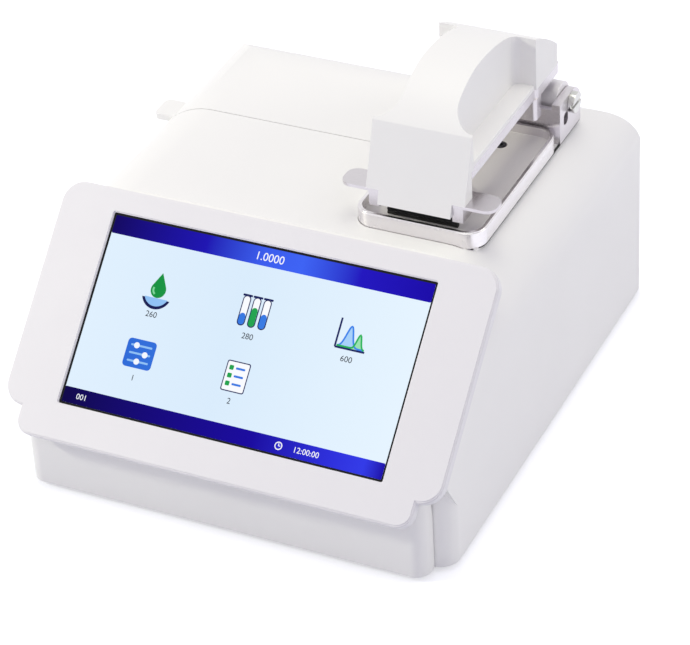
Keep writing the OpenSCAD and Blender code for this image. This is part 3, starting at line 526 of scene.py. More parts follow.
# cast aluminium, bead blasted: an even, cool satin
ARM_ALUMINIUM = WorkedMetal("aluminium_cast_blasted", "cast_aluminium", "#DAD6DA", "#C8C4C9",
                            Working.BLASTED, mark=0.3, gloss=0.22, haze=0.36, depth=0.006)
# aluminium from the lathe, blasted dull, and painted paler than the castings as light in the shaded hollow
# at the hinge under the arm's tail
BARREL_ALUMINIUM_LIT = WorkedMetal("aluminium_turned_blasted_lit", "cast_aluminium", "#F2EFF2", "#E4E1E4",
                               Working.TURNED, mark=0.3, gloss=0.4, haze=0.55, metallic=0.5)
# zinc-plated sheet: grey with lines across
SHEET_STEEL = WorkedMetal("steel_sheet_brushed", "sheet_steel", "#C4C5C7", "#A9AAAD",
                          Working.BRUSHED_ALONG_X, mark=0.4, gloss=0.24, haze=0.42)
# steel screws in black oxide: dark with a dull shine
SCREW_STEEL = WorkedMetal("steel_black_oxide", "dark_steel", "#6E7074", "#55575B", Working.TURNED, mark=0.2,
                          gloss=0.25, haze=0.4)
# aluminium, black anodised: a deep satin grey
DARK_ALUMINIUM = WorkedMetal("aluminium_black_anodised", "anodised_aluminium", "#4B4D51", "#3C3E42",
                             Working.BLASTED, mark=0.3, gloss=0.34, haze=0.5)
# bronze pressed from powder and soaked in oil: brown gold with open pores
BUSH_BRONZE = WorkedMetal("bronze_sintered", "bronze", "#B9934E", "#7E6236", Working.BLASTED, mark=0.25,
                          gloss=0.3, haze=0.5, depth=0.02)
# rubber from a hot press: dusty black
FOOT_RUBBER = MouldedRubber("rubber_moulded", "rubber_black", "#2C2C2D", "#161617")
# epoxy board under green lacquer: glossy, with lighter lines over the copper
BOARD_LACQUER = SolderResist("epoxy_board_lacquered", "circuit_board", "#1C5A36", "#2F7A4C")
# hardened glass, printed black on its back: a deep black with a clear reflection
COVER_GLASS = BackedGlass("glass_printed_black", "cover_glass", "#050507", "#0B0C10")
# sheet aluminium with a baked grey powder coat: orange-peel grain
PANEL_PAINT = MouldedPlastic("powder_coat_grey", "panel_grey", "#C9C9CB", "#C1C1C4", roughness=0.5,
                             grain=1.2, depth=0.05)
# white ink printed on switches: flat and opaque
MARK_INK = MouldedPlastic("ink_white_printed", "black_plastic", "#E6E6E4", "#DADAD8", roughness=0.5)

# lit areas of the screen: they glow evenly, and the two bars run from dark to bright blue in soft streaks
FIELD_LIGHT = ScreenLight("screen_field_light", "display",
                          ((0.0, "#E0F0FE"), (0.45, "#DAECFC"), (1.0, "#E6F4FF")))
HEADER_LIGHT = ScreenLight("screen_header_light", "display",
                           ((0.0, "#0F0062"), (0.3, "#1E12BE"), (0.48, "#3E62FA"), (0.6, "#4068FF"),
                            (0.78, "#2214C4"), (1.0, "#1904AA")), streaks=0.3)
FOOTER_LIGHT = ScreenLight("screen_footer_light", "display",
                           ((0.0, "#0A0048"), (0.3, "#12017E"), (0.6, "#1703A0"), (0.84, "#2C2EDC"),
                            (0.94, "#323AE8"), (1.0, "#1B08A8")), streaks=0.35)
GREEN_LIGHT = ScreenLight("screen_green_light", "display", ((0.0, "#14903F"), (1.0, "#2DB55C")))
LEAF_LIGHT = ScreenLight("screen_leaf_light", "display", ((0.0, "#7FD79B"), (1.0, "#9BE3B1")))
BLUE_LIGHT = ScreenLight("screen_blue_light", "display", ((0.0, "#2F6BD8"), (1.0, "#3F86EC")))
SKY_LIGHT = ScreenLight("screen_sky_light", "display", ((0.0, "#8FC0F4"), (1.0, "#A9D2FA")))
NAVY_LIGHT = ScreenLight("screen_navy_light", "display", ((0.0, "#161A52"), (1.0, "#1E2563")))
TEXT_LIGHT = ScreenLight("screen_text_light", "display", ((0.0, "#16181F"), (1.0, "#20232B")))
WHITE_LIGHT = ScreenLight("screen_white_light", "display", ((0.0, "#F4F7FF"), (1.0, "#FFFFFF")))


# Meshes


def new_object(name: str, mesh: bpy.types.Mesh) -> bpy.types.Object:
    """Returns a new object of that mesh, linked to the scene."""
    made = bpy.data.objects.new(name, mesh)
    bpy.context.scene.collection.objects.link(made)
    return made


def rounded_copy(node: str, edge: float, sharp: float = 30.0, steps: int = 3) -> bpy.types.Object:
    """Copies a CAD node and rounds its sharp edges.

    Args:
        node: Name of the CAD node.
        edge: Radius of the rounding in millimetres.
        sharp: Edges that turn by more than this many degrees are rounded.
        steps: Facets across the rounding.

    Returns:
        The copy, in the node's place.
    """
    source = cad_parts[node].data
    mesh = bpy.data.meshes.new(node + "_rounded")
    mesh.from_pydata([v.co for v in source.vertices], [], [tuple(p.vertices) for p in source.polygons])
    form = bmesh.new()
    form.from_mesh(mesh)
    bmesh.ops.remove_doubles(form, verts=form.verts, dist=WELD)
    bmesh.ops.dissolve_limit(form, angle_limit=math.radians(FLAT_TURN), verts=form.verts, edges=form.edges)
    turned = [e for e in form.edges if e.is_manifold and e.calc_face_angle() > math.radians(sharp)]
    bmesh.ops.bevel(form, geom=turned, offset=edge * MM, offset_type="OFFSET", segments=steps, profile=0.5,
                    affect="EDGES", clamp_overlap=True)
    # where two roundings meet, the bevel leaves faces without area
    bmesh.ops.remove_doubles(form, verts=form.verts, dist=WELD)
    bmesh.ops.dissolve_degenerate(form, dist=WELD, edges=form.edges)
    form.to_mesh(mesh)
    form.free()
    mesh.shade_smooth()
    mesh.set_sharp_from_angle(angle=math.radians(sharp + CRISP_MARGIN))
    copy = new_object(node + "_piece", mesh)
    weights = copy.modifiers.new("even_shading", "WEIGHTED_NORMAL")
    weights.keep_sharp = True
    weights.weight = LARGE_FACE_WEIGHT
    return copy


def extruded(name: str, outline: Outline, left: float, right: float, edge: float) -> bpy.types.Object:
    """Makes a solid from a side view, with softened ends.

    Args:
        name: Name of the piece.
        outline: Its side view as points (y, z) in millimetres.
        left: Its lowest x.
        right: Its highest x.
        edge: Radius of the softening.

    Returns:
        The new piece.
    """
    form = bmesh.new()
    face = form.faces.new([form.verts.new(Vector((left, y, z)) * MM) for y, z in outline])
    grown = bmesh.ops.extrude_face_region(form, geom=[face])["geom"]
    bmesh.ops.translate(form, verts=[v for v in grown if isinstance(v, bmesh.types.BMVert)],
                        vec=Vector((right - left, 0, 0)) * MM)
    bmesh.ops.recalc_face_normals(form, faces=form.faces)
    ends = [e for e in form.edges if abs(e.verts[0].co.x - e.verts[1].co.x) < MM]
    bmesh.ops.bevel(form, geom=ends, offset=edge * MM, offset_type="OFFSET", segments=2, profile=0.5,
                    affect="EDGES", clamp_overlap=True)
    mesh = bpy.data.meshes.new(name)
    form.to_mesh(mesh)
    form.free()
    return new_object(name, mesh)


def strip_along(name: str, path: list[Vector], half_w: float, half_h: float) -> bpy.types.Object:
    """Sweeps a round-edged section along a level path.

    Args:
        name: Name of the piece.
        path: Its middle line in millimetres.
        half_w: Half the section's width in millimetres.
        half_h: Half the section's height in millimetres.

    Returns:
        The new piece.
    """
    section = arc(0, 0, 1, 0, 360, 12)[:-1]
    upwards = Vector((0, 0, half_h))
    form = bmesh.new()
    rings = []
    for i, point in enumerate(path):
        ahead = path[min(i + 1, len(path) - 1)] - path[max(i - 1, 0)]
        aside = Vector((ahead.y, -ahead.x, 0)).normalized() * half_w
        corners = [(point + aside * u + upwards * v) * MM for u, v in section]
        rings.append([form.verts.new(corner) for corner in corners])
    for first, second in zip(rings, rings[1:]):
        for k in range(len(section)):
            form.faces.new((first[k - 1], first[k], second[k], second[k - 1]))
    form.faces.new(rings[0])
    form.faces.new(rings[-1])
    bmesh.ops.recalc_face_normals(form, faces=form.faces)
    mesh = bpy.data.meshes.new(name)
    form.to_mesh(mesh)
    form.free()
    mesh.shade_smooth()
    mesh.set_sharp_from_angle(angle=math.radians(STRIP_TURN))
    return new_object(name, mesh)


# Flat outlines


def arc(x: float, s: float, radius: float, start: float, end: float, steps: int = 24) -> Outline:
    """Returns points on an arc about (x, s) between two angles in degrees."""
    angles = [math.radians(start + (end - start) * i / steps) for i in range(steps + 1)]
    return [(x + radius * math.cos(a), s + radius * math.sin(a)) for a in angles]


def disc(x: float, s: float, radius: float) -> Outline:
    """Returns the outline of a disc."""
    return arc(x, s, radius, 0, 360, 32)[:-1]


def rounded_box(x: float, s: float, width: float, height: float, radius: float) -> Outline:
    """Returns the outline of a rectangle about (x, s) with round corners.

    Args:
        x: Middle across.
        s: Middle up the slope.
        width: Size across.
        height: Size up the slope.
        radius: Corner radius.

    Returns:
        Its corner points, anticlockwise.
    """
    points: Outline = []
    right = width / 2 - radius
    top = height / 2 - radius
    for side_x, side_s, start in ((1, 1, 0), (-1, 1, 90), (-1, -1, 180), (1, -1, 270)):
        points += arc(x + side_x * right, s + side_s * top, radius, start, start + 90, 6)
    return points


def band(line: Outline, width: float) -> Outline:
    """Returns the outline of a line drawn with an even width.

    Args:
        line: Points that the line follows.
        width: Its width.

    Returns:
        The outline, out along one side and back along the other.
    """
    left: Outline = []
    right: Outline = []
    for i, (x, s) in enumerate(line):
        before = line[max(i - 1, 0)]
        after = line[min(i + 1, len(line) - 1)]
        along = Vector((after[0] - before[0], after[1] - before[1])).normalized()
        left.append((x - along.y * width / 2, s + along.x * width / 2))
        right.append((x + along.y * width / 2, s - along.x * width / 2))
    return left + right[::-1]


def droplet(x: float, s: float, radius: float) -> Outline:
    """Returns the outline of a hanging drop.

    Args:
        x: Middle of its round end across.
        s: Middle of its round end up the slope.
        radius: Radius of the round end.

    Returns:
        Its tip, and the round end from one straight flank to the other.
    """
    tip = (x, s + 2.1 * radius)
    # the flanks touch the round end this many degrees to either side of the tip
    flank = 62
    return [tip] + arc(x, s, radius, 90 + flank, 450 - flank, 36)


@dataclass(frozen=True)
class Ink:
    """One flat area of a print or of the lit screen.

    Attributes:
        outline: Its corner points.
        finish: Its finish.
        layer: Its place in the stack, counted upwards.
    """

    outline: Outline
    finish: Finish
    layer: int = 2


def printed(name: str, inks: list[Ink], plane: Matrix, lift: float = 0.03) -> bpy.types.Object:
    """Makes one piece of flat areas on a plane.

    Args:
        name: Name of the piece.
        inks: The areas.
        plane: Turns (across, up, outwards) in metres into the frame.
        lift: Height of one layer above the next, in millimetres.

    Returns:
        The new piece.
    """
    finishes: list[Finish] = []
    form = bmesh.new()
    for ink in inks:
        if ink.finish not in finishes:
            finishes.append(ink.finish)
        height = ink.layer * lift * MM
        corners = [plane @ Vector((x * MM, s * MM, height)) for x, s in ink.outline]
        face = form.faces.new([form.verts.new(corner) for corner in corners])
        face.material_index = finishes.index(ink.finish)
    form.normal_update()
    outwards = plane.to_3x3() @ Vector((0, 0, 1))
    for face in form.faces:
        if face.normal.dot(outwards) < 0:
            face.normal_flip()
    mesh = bpy.data.meshes.new(name)
    form.to_mesh(mesh)
    form.free()
    for finish in finishes:
        mesh.materials.append(finish.material())
    return new_object(name, mesh)


def numerals(name: str, rows: list[tuple[str, float, float, float]], finish: Finish, plane: Matrix,
             lift: float) -> bpy.types.Object:
    """Makes one piece of plain numbers on a plane.

    Args:
        name: Name of the piece.
        rows: Each number with its middle across, its foot up the slope and its height.
        finish: Its finish.
        plane: Turns (across, up, outwards) in metres into the frame.
        lift: Height above the plane in millimetres.

    Returns:
        The new piece.
    """
    form = bmesh.new()
    for text, x, s, height in rows:
        curve = bpy.data.curves.new(name + "_line", "FONT")
        curve.body = text
        curve.align_x = "CENTER"
        curve.size = height / FIGURE_SHARE * MM
        line = new_object(name + "_line", curve)
        bpy.context.view_layer.update()
        flat = bpy.data.meshes.new_from_object(line.evaluated_get(bpy.context.evaluated_depsgraph_get()))
        flat.transform(plane @ Matrix.Translation((x * MM, s * MM, lift * MM)))
        form.from_mesh(flat)
        bpy.data.objects.remove(line)
        bpy.data.meshes.remove(flat)
    mesh = bpy.data.meshes.new(name)
    form.to_mesh(mesh)
    form.free()
    mesh.materials.clear()
    mesh.materials.append(finish.material())
    return new_object(name, mesh)


# Sub-assemblies


class Body(Enum):
    """The bodies that pieces ride on."""

    HOUSING = "housing"
    ARM = "arm"
    LID = "lid"
    ROCKER = "rocker"


@dataclass
class SubAssembly:
    """Nodes that are made and dressed together.

    Attributes:
        body: The body that its pieces ride on.
    """

    body: Body

    def round_off(self, node: str, finish: Finish, edge: float) -> bpy.types.Object:
        """Replaces a CAD node with a copy whose edges are rounded.

        Args:
            node: Name of the CAD node.
            finish: Finish of the piece.
            edge: Radius of its edges.

        Returns:
            The piece.
        """
        piece = rounded_copy(node, edge)
        piece.data.materials.append(finish.material())
        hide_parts(node)
        self.fit(piece, finish)
        return piece

    def coat(self, node: str, finish: Finish) -> None:
        """Gives a CAD node its finish and leaves its shape as it is.

        Args:
            node: Name of the CAD node.
            finish: Its finish.
        """
        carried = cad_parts[node]
        carried.data.materials.clear()
        carried.data.materials.append(finish.material())
        log.info("%s: %s", node, finish.name)

    def fit(self, piece: bpy.types.Object, finish: Finish) -> None:
        """Lets a piece ride on the sub-assembly's body.

        Args:
            piece: The piece.
            finish: Its finish, whose name goes into the log.
        """
        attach(piece, self.body.value)
        log.info("%s: rides on %s, %s", piece.name, self.body.value, finish.name)


@dataclass
class Housing(SubAssembly):
    """White housing: shell, plinth with its lip, screws and feet.

    Attributes:
        shell_edge: Radius of the shell's edges.
        plinth_edge: Radius of the plinth's edges.
        foot_edge: Radius of the feet's edges.
    """

    body: Body = Body.HOUSING
    shell_edge: float = 0.7
    plinth_edge: float = 0.9
    foot_edge: float = 0.8

    def build(self) -> None:
        """Makes and dresses the housing."""
        self.round_off("main_shell", HOUSING_ABS, self.shell_edge)
        self.round_off("base_plinth", HOUSING_ABS, self.plinth_edge)
        self.round_off("feet", FOOT_RUBBER, self.foot_edge)
        self.coat("housing_screws", SCREW_STEEL)


@dataclass
class Electronics(SubAssembly):
    """Boards and optics inside the housing."""

    body: Body = Body.HOUSING

    def build(self) -> None:
        """Dresses the inner pieces."""
        self.coat("lcd_bracket", SHEET_STEEL)
        self.coat("main_board", BOARD_LACQUER)
        self.coat("power_board", BOARD_LACQUER)
        self.coat("spectrometer", DARK_ALUMINIUM)
        self.coat("light_fibre", BLACK_NYLON)


@dataclass
class Display(SubAssembly):
    """Bezel, cover glass and the lit screen with its menu of plain signs and numbers.

    Attributes:
        bezel_edge: Radius of the bezel's edges.
        slope: Tilt of the screen in degrees.
        window_h: Height of the bezel's window.
        glass_t: Thickness of the cover glass.
        field_w: Width of the lit field.
        field_h: Height of the lit field.
        header_h: Height of the dark bar at the top.
        footer_h: Height of the dark bar at the bottom.
        bar_corner: Corner radius of the lit field and of its bars.
        columns: Middles of the signs across the screen.
        upper_row: Middle of the upper signs up the slope.
        lower_row: Middle of the lower signs up the slope.
        sign_size: Size of the signs against their drawing.
        caption_drop: Distance from a sign's middle down to the foot of its caption.
        caption_h: Height of the captions.
        caption_lift: Height of the captions above the glass.
        header_figure_h: Height of the number in the upper bar.
        footer_figure_h: Height of the numbers in the lower bar.
        footer_line: Foot of the numbers in the lower bar.
        count_x: Middle of the sample count in the lower bar.
        time_x: Middle of the time in the lower bar.
        clock_place: Middle of the small clock in the lower bar.
        figure_lift: Height of the bars' numbers above the glass.
    """

    body: Body = Body.HOUSING
    bezel_edge: float = 1.6
    slope: float = 43.5
    window_h: float = 88.0
    glass_t: float = 1.8
    field_w: float = 154.0
    field_h: float = 86.0
    header_h: float = 8.2
    footer_h: float = 7.1
    bar_corner: float = 0.5
    columns: tuple[float, float, float] = (-47.0, 0.0, 47.0)
    upper_row: float = 58.0
    lower_row: float = 29.0
    sign_size: float = 0.8
    caption_drop: float = 12.0
    caption_h: float = 2.6
    caption_lift: float = 0.12
    header_figure_h: float = 3.6
    footer_figure_h: float = 2.5
    footer_line: float = 3.4
    count_x: float = -68.0
    time_x: float = 41.0
    clock_place: Point = (28.0, 4.6)
    figure_lift: float = 0.14

    def plane(self) -> Matrix:
        """Returns the matrix from screen coordinates at the window's foot on the glass into the frame."""
        low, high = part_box("touch_glass")
        tilt = Matrix.Rotation(math.radians(self.slope), 4, "X")
        foot = (low + high) / 2 + tilt @ Vector((0, -self.window_h / 2 * MM, self.glass_t / 2 * MM))
        return Matrix.Translation(foot) @ tilt

    def build(self) -> None:
        """Makes the bezel, dresses the glass and lights the screen."""
        # the bezel's plastic is painted a little darker, as shade on its tilted face
        self.round_off("screen_bezel", BEZEL_ABS_SHADED, self.bezel_edge)
        self.coat("touch_glass", COVER_GLASS)
        self.coat("lcd_panel", DARK_ALUMINIUM)
        self.light_bars()
        self.light_signs()
        self.light_numbers()

    def light_bars(self) -> None:
        """Makes the lit field and the two dark bars."""
        middle = self.window_h / 2
        top = middle + self.field_h / 2
        foot = middle - self.field_h / 2
        areas = (
            ("screen_field", FIELD_LIGHT, middle, self.field_h, 1),
            ("screen_header", HEADER_LIGHT, top - self.header_h / 2, self.header_h, 2),
            ("screen_footer", FOOTER_LIGHT, foot + self.footer_h / 2, self.footer_h, 2),
        )
        for name, finish, s, height, layer in areas:
            outline = rounded_box(0, s, self.field_w, height, self.bar_corner)
            self.fit(printed(name, [Ink(outline, finish, layer)], self.plane()), finish)

    def light_signs(self) -> None:
        """Makes the menu's signs."""
        left, middle, right = self.columns
        menu = ((self.drop_sign, left, self.upper_row), (self.tube_sign, middle, self.upper_row),
                (self.curve_sign, right, self.upper_row), (self.slider_sign, left, self.lower_row),
                (self.list_sign, middle, self.lower_row))
        inks = self.clock_sign(*self.clock_place)
        for sign, x, s in menu:
            for ink in sign():
                outline = [(x + a * self.sign_size, s + b * self.sign_size) for a, b in ink.outline]
                inks.append(Ink(outline, ink.finish, ink.layer))
        self.fit(printed("screen_signs", inks, self.plane()), BLUE_LIGHT)

    def drop_sign(self) -> list[Ink]:
        """Returns a green drop over a blue dish."""
        return [
            Ink(arc(0, -1.5, 9.0, 200, 340), NAVY_LIGHT),
            Ink(arc(0, -1.2, 7.6, 203, 337), SKY_LIGHT, 3),
            Ink(droplet(0, 0.5, 4.6), GREEN_LIGHT, 4),
            Ink(band(arc(0, 0.5, 3.0, 160, 240), 1.1), LEAF_LIGHT, 5),
        ]

    def tube_sign(self) -> list[Ink]:
        """Returns three upright tubes with liquid at different heights."""
        inks: list[Ink] = []
        for x, level, liquid in ((-6.2, 6.5, BLUE_LIGHT), (0.0, 10.5, GREEN_LIGHT), (6.2, 8.0, BLUE_LIGHT)):
            inks.append(Ink(rounded_box(x, 0, 4.8, 17.0, 2.3), NAVY_LIGHT))
            inks.append(Ink(rounded_box(x, 0, 3.6, 15.8, 1.75), WHITE_LIGHT, 3))
            inks.append(Ink(rounded_box(x, level / 2 - 7.9, 3.6, level, 1.75), liquid, 4))
            inks.append(Ink(rounded_box(x, 8.5, 5.8, 1.2, 0.5), NAVY_LIGHT, 5))
        return inks

    def curve_sign(self) -> list[Ink]:
        """Returns a pair of axes with a broad and a narrow peak."""
        steps = [i * 0.5 for i in range(33)]
        broad = [(t - 7.6, 11.5 * math.exp(-((t - 6.0) / 2.6) ** 2) - 7.0) for t in steps]
        narrow = [(t - 7.6, 8.0 * math.exp(-((t - 12.0) / 1.7) ** 2) - 7.0) for t in steps]
        foot = [(8.4, -7.4), (-7.6, -7.4)]
        axes = [(-8.4, 8.0), (-8.4, -8.0), (9.0, -8.0)]
        return [
            Ink(broad + foot, SKY_LIGHT),
            Ink(narrow + foot, LEAF_LIGHT, 3),
            Ink(band(broad, 1.0), BLUE_LIGHT, 4),
            Ink(band(narrow, 1.0), GREEN_LIGHT, 5),
            Ink(band(axes[:2], 1.1), NAVY_LIGHT, 6),
            Ink(band(axes[1:], 1.1), NAVY_LIGHT, 7),
        ]

    def slider_sign(self) -> list[Ink]:
        """Returns three level sliders on a blue plate."""
        inks = [Ink(rounded_box(0, 0, 17.5, 16.0, 2.2), BLUE_LIGHT)]
        for rise, slide in ((4.4, -3.0), (0.0, 3.2), (-4.4, -0.6)):
            inks.append(Ink(rounded_box(0, rise, 13.0, 1.1, 0.5), SKY_LIGHT, 3))
            inks.append(Ink(disc(slide, rise, 1.7), WHITE_LIGHT, 4))
        return inks

    def list_sign(self) -> list[Ink]:
        """Returns a sheet with lines, each behind a green tick box."""
        inks = [
            Ink(rounded_box(0, 0, 14.0, 17.0, 1.2), NAVY_LIGHT),
            Ink(rounded_box(0, 0, 12.8, 15.8, 0.8), WHITE_LIGHT, 3),
        ]
        for rise in (4.6, 0.2, -4.2):
            inks.append(Ink(rounded_box(-3.8, rise, 2.6, 2.6, 0.5), GREEN_LIGHT, 4))
            inks.append(Ink(rounded_box(1.6, rise, 5.6, 1.2, 0.5), BLUE_LIGHT, 4))
        return inks

    def clock_sign(self, x: float, s: float) -> list[Ink]:
        """Returns a small clock face about (x, s), at its real size."""
        return [
            Ink(disc(x, s, 1.8), WHITE_LIGHT, 4),
            Ink(disc(x, s, 1.35), FOOTER_LIGHT, 5),
            Ink(band([(x, s + 1.1), (x, s)], 0.4), WHITE_LIGHT, 6),
            Ink(band([(x, s), (x + 0.9, s)], 0.4), WHITE_LIGHT, 7),
        ]

    def light_numbers(self) -> None:
        """Makes the captions under the signs and the numbers in the bars."""
        left, middle, right = self.columns
        upper = self.upper_row - self.caption_drop
        lower = self.lower_row - self.caption_drop
        captions = [("260", left, upper, self.caption_h), ("280", middle, upper, self.caption_h),
                    ("600", right, upper, self.caption_h), ("1", left, lower, self.caption_h),
                    ("2", middle, lower, self.caption_h)]
        field_top = (self.window_h + self.field_h) / 2
        header_line = field_top - self.header_h / 2 - self.header_figure_h / 2
        bars = [("001", self.count_x, self.footer_line, self.footer_figure_h),
                ("12:00:00", self.time_x, self.footer_line, self.footer_figure_h),
                ("1.0000", 0.0, header_line, self.header_figure_h)]
        plane = self.plane()
        self.fit(numerals("screen_captions", captions, TEXT_LIGHT, plane, self.caption_lift), TEXT_LIGHT)
        self.fit(numerals("screen_bar_numbers", bars, WHITE_LIGHT, plane, self.figure_lift), WHITE_LIGHT)


@dataclass
class SampleStage(SubAssembly):
    """Metal tray with the lower pedestal, and the bracket that carries the arm's hinge.

    Attributes:
        tray_edge: Radius of the tray's edges.
        tray_floor: Thickness of the tray's floor.
        tray_corner: Radius of the tray's upright corners.
        bracket_edge: Radius of the bracket's edges.
        pin_edge: Radius of the pin's edges.
        pedestal_edge: Radius of the lower pedestal's edges.
        shadow_strip_w: Width of the black rubber strip below the overhang, a dark piece that paints the
            shadow in the gap there.
        shadow_strip_h: Its height.
        shadow_strip_press: How far it is pressed into the tray's underside.
        shadow_strip_inset: Its outer side inside the tray's wall, and its end inside the bracket's.
        shadow_strip_start: Where it comes out of the shoulder, in degrees round the tray's front right
            corner.
    """

    body: Body = Body.HOUSING
    tray_edge: float = 0.35
    tray_floor: float = 3.5
    tray_corner: float = 9.0
    bracket_edge: float = 0.5
    pin_edge: float = 0.3
    pedestal_edge: float = 0.15
    shadow_strip_w: float = 1.2
    shadow_strip_h: float = 0.9
    shadow_strip_press: float = 0.05
    shadow_strip_inset: float = 0.1
    shadow_strip_start: float = -60.0

    def build(self) -> None:
        """Makes and dresses the stage."""
        self.blast_and_lighten_floor(self.round_off("sample_tray", TRAY_STEEL, self.tray_edge))
        self.round_off("hinge_bracket", ARM_ALUMINIUM, self.bracket_edge)
        self.round_off("hinge_pin", TURNED_STEEL, self.pin_edge)
        self.round_off("lower_pedestal", TURNED_STEEL, self.pedestal_edge)
        # a black rubber strip paints the shadow in the gap under the tray's overhang
        self.shade_overhang()
        self.coat("pedestal_seal", FOOT_RUBBER)
        self.coat("tray_screws", SCREW_STEEL)
        self.coat("bracket_screws", SCREW_STEEL)

    def blast_and_lighten_floor(self, tray: bpy.types.Object) -> None:
        """Gives the tray's floor its dull finish, painted pale as light against the arm's shade; rim and
        walls stay polished.

        Args:
            tray: The rounded tray.
        """
        tray.data.materials.append(FLOOR_STEEL_LIT.material())
        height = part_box("sample_tray")[0].z + self.tray_floor * MM
        level_enough = 0.1 * MM
        for face in tray.data.polygons:
            if abs(face.center.z - height) < level_enough:
                face.material_index = 1

    def shade_overhang(self) -> None:
        """Makes a black rubber strip below tray and bracket, where both stand out over the right shoulder,
        as a dark piece that paints the shadow in the gap under them.
        """
        low, high = (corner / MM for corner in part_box("sample_tray"))
        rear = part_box("hinge_bracket")[1].y / MM
        inset = self.shadow_strip_inset + self.shadow_strip_w / 2
        line = arc(high.x - self.tray_corner, low.y + self.tray_corner, self.tray_corner - inset,
                   self.shadow_strip_start, 0, 12)
        line.append((high.x - inset, rear - inset))
        height = low.z - self.shadow_strip_h / 2 + self.shadow_strip_press
        path = [Vector((x, y, height)) for x, y in line]
        # the strip is a dark piece where there is only the painted shadow of the gap
        shadow_strip = strip_along("tray_shadow_strip", path, self.shadow_strip_w / 2, self.shadow_strip_h / 2)
        shadow_strip.data.materials.append(FOOT_RUBBER.material())
        self.fit(shadow_strip, FOOT_RUBBER)


@dataclass
class MeasuringArm(SubAssembly):
    """Hinged arm: metal frame with its ears, white cover, light lip, hinge barrel and the optics inside.

    Attributes:
        cover_edge: Radius of the cover's edges.
        frame_edge: Radius of the frame's edges.
        barrel_edge: Radius of the hinge barrel's edges.
        pedestal_edge: Radius of the upper pedestal's edges.
        ear_drop: Underside of the ear plate above the foot of the ears' rails.
        lip_w: Width of the rubber lip that keeps stray light out below the head.
        lip_t: Its thickness.
        lip_back: Its front face behind the ears' front edge.
        lip_drop: How far it hangs below the rails.
        lip_edge: Radius of its softened edges.
        lip_chamfer: Chamfer along its foot, inwards and upwards.
        groove_count: Number of grooves across its front face.
        groove_start: Lowest groove above its foot.
        groove_pitch: Distance from one groove to the next.
        groove_w: Width of a groove.
        groove_d: Depth of a groove.
        groove_slope: Share of a groove's width that each of its slopes takes.
    """

    body: Body = Body.ARM
    cover_edge: float = 0.8
    frame_edge: float = 0.4
    barrel_edge: float = 0.4
    pedestal_edge: float = 0.15
    ear_drop: float = 7.0
    lip_w: float = 33.0
    lip_t: float = 2.4
    lip_back: float = 6.0
    lip_drop: float = 7.4
    lip_edge: float = 0.15
    lip_chamfer: Point = (0.5, 0.6)
    groove_count: int = 4
    groove_start: float = 1.4
    groove_pitch: float = 1.6
    groove_w: float = 1.0
    groove_d: float = 0.4
    groove_slope: float = 0.3

    def build(self) -> None:
        """Makes and dresses the arm."""
        self.round_off("arm_cover", HOUSING_ABS, self.cover_edge)
        self.light_lip()
        self.round_off("arm_frame", ARM_ALUMINIUM, self.frame_edge)
        # the barrel's aluminium is painted paler, as light in the shaded hollow under the arm's tail
        self.round_off("arm_barrel", BARREL_ALUMINIUM_LIT, self.barrel_edge)
        self.round_off("upper_pedestal", TURNED_STEEL, self.pedestal_edge)
        self.coat("barrel_bushes", BUSH_BRONZE)
        self.coat("arm_screws", SCREW_STEEL)
        self.coat("lamp_module", BLACK_NYLON)
        self.coat("lamp_mount", SHEET_STEEL)

    def light_lip(self) -> None:
        """Makes the ribbed rubber lip that hangs from the ear plate between the rails."""
        low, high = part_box("arm_frame")
        front = low.y / MM + self.lip_back
        rear = front + self.lip_t
        foot = low.z / MM - self.lip_drop
        top = low.z / MM + self.ear_drop
        inwards, upwards = self.lip_chamfer
        slope = self.groove_slope * self.groove_w
        outline = [(front + inwards, foot), (front, foot + upwards)]
        for i in range(self.groove_count):
            start = foot + self.groove_start + i * self.groove_pitch
            end = start + self.groove_w
            outline += [(front, start), (front + self.groove_d, start + slope),
                        (front + self.groove_d, end - slope), (front, end)]
        outline += [(front, top), (rear, top), (rear, foot + upwards), (rear - inwards, foot)]
        middle = (low.x + high.x) / 2 / MM
        lip = extruded("arm_light_lip", outline, middle - self.lip_w / 2, middle + self.lip_w / 2,
                       self.lip_edge)
        lip.data.materials.append(FOOT_RUBBER.material())
        self.fit(lip, FOOT_RUBBER)


@dataclass
class CuvetteBay(SubAssembly):
    """Bay at the left with its holder and hinge pins.

    Attributes:
        holder_edge: Radius of the holder's edges.
    """

    body: Body = Body.HOUSING
    holder_edge: float = 0.4

    def build(self) -> None:
        """Makes and dresses what stays in the housing."""
        self.round_off("cuvette_holder", BLACK_NYLON, self.holder_edge)
        self.coat("lid_pins", TURNED_STEEL)


@dataclass
class CuvetteLid(SubAssembly):
    """Lid over the cuvette bay, with its finger tab.

    Attributes:
        lid_edge: Radius of the lid's edges.
    """

    body: Body = Body.LID
    lid_edge: float = 0.6

    def build(self) -> None:
        """Makes and dresses the lid."""
        self.round_off("cuvette_lid", HOUSING_ABS, self.lid_edge)


@dataclass
class RearFittings(SubAssembly):
    """Rear panel with mains inlet, data sockets and the switch's frame.

    Attributes:
        panel_edge: Radius of the edges of panel, inlet and frame.
        socket_edge: Radius of the sockets' edges.
    """

    body: Body = Body.HOUSING
    panel_edge: float = 0.3
    socket_edge: float = 0.15

    def build(self) -> None:
        """Makes and dresses the fittings."""
        self.round_off("rear_panel", PANEL_PAINT, self.panel_edge)
        self.round_off("power_inlet", BLACK_NYLON, self.panel_edge)
        self.round_off("usb_sockets", SHEET_STEEL, self.socket_edge)
        self.round_off("switch_frame", BLACK_NYLON, self.panel_edge)


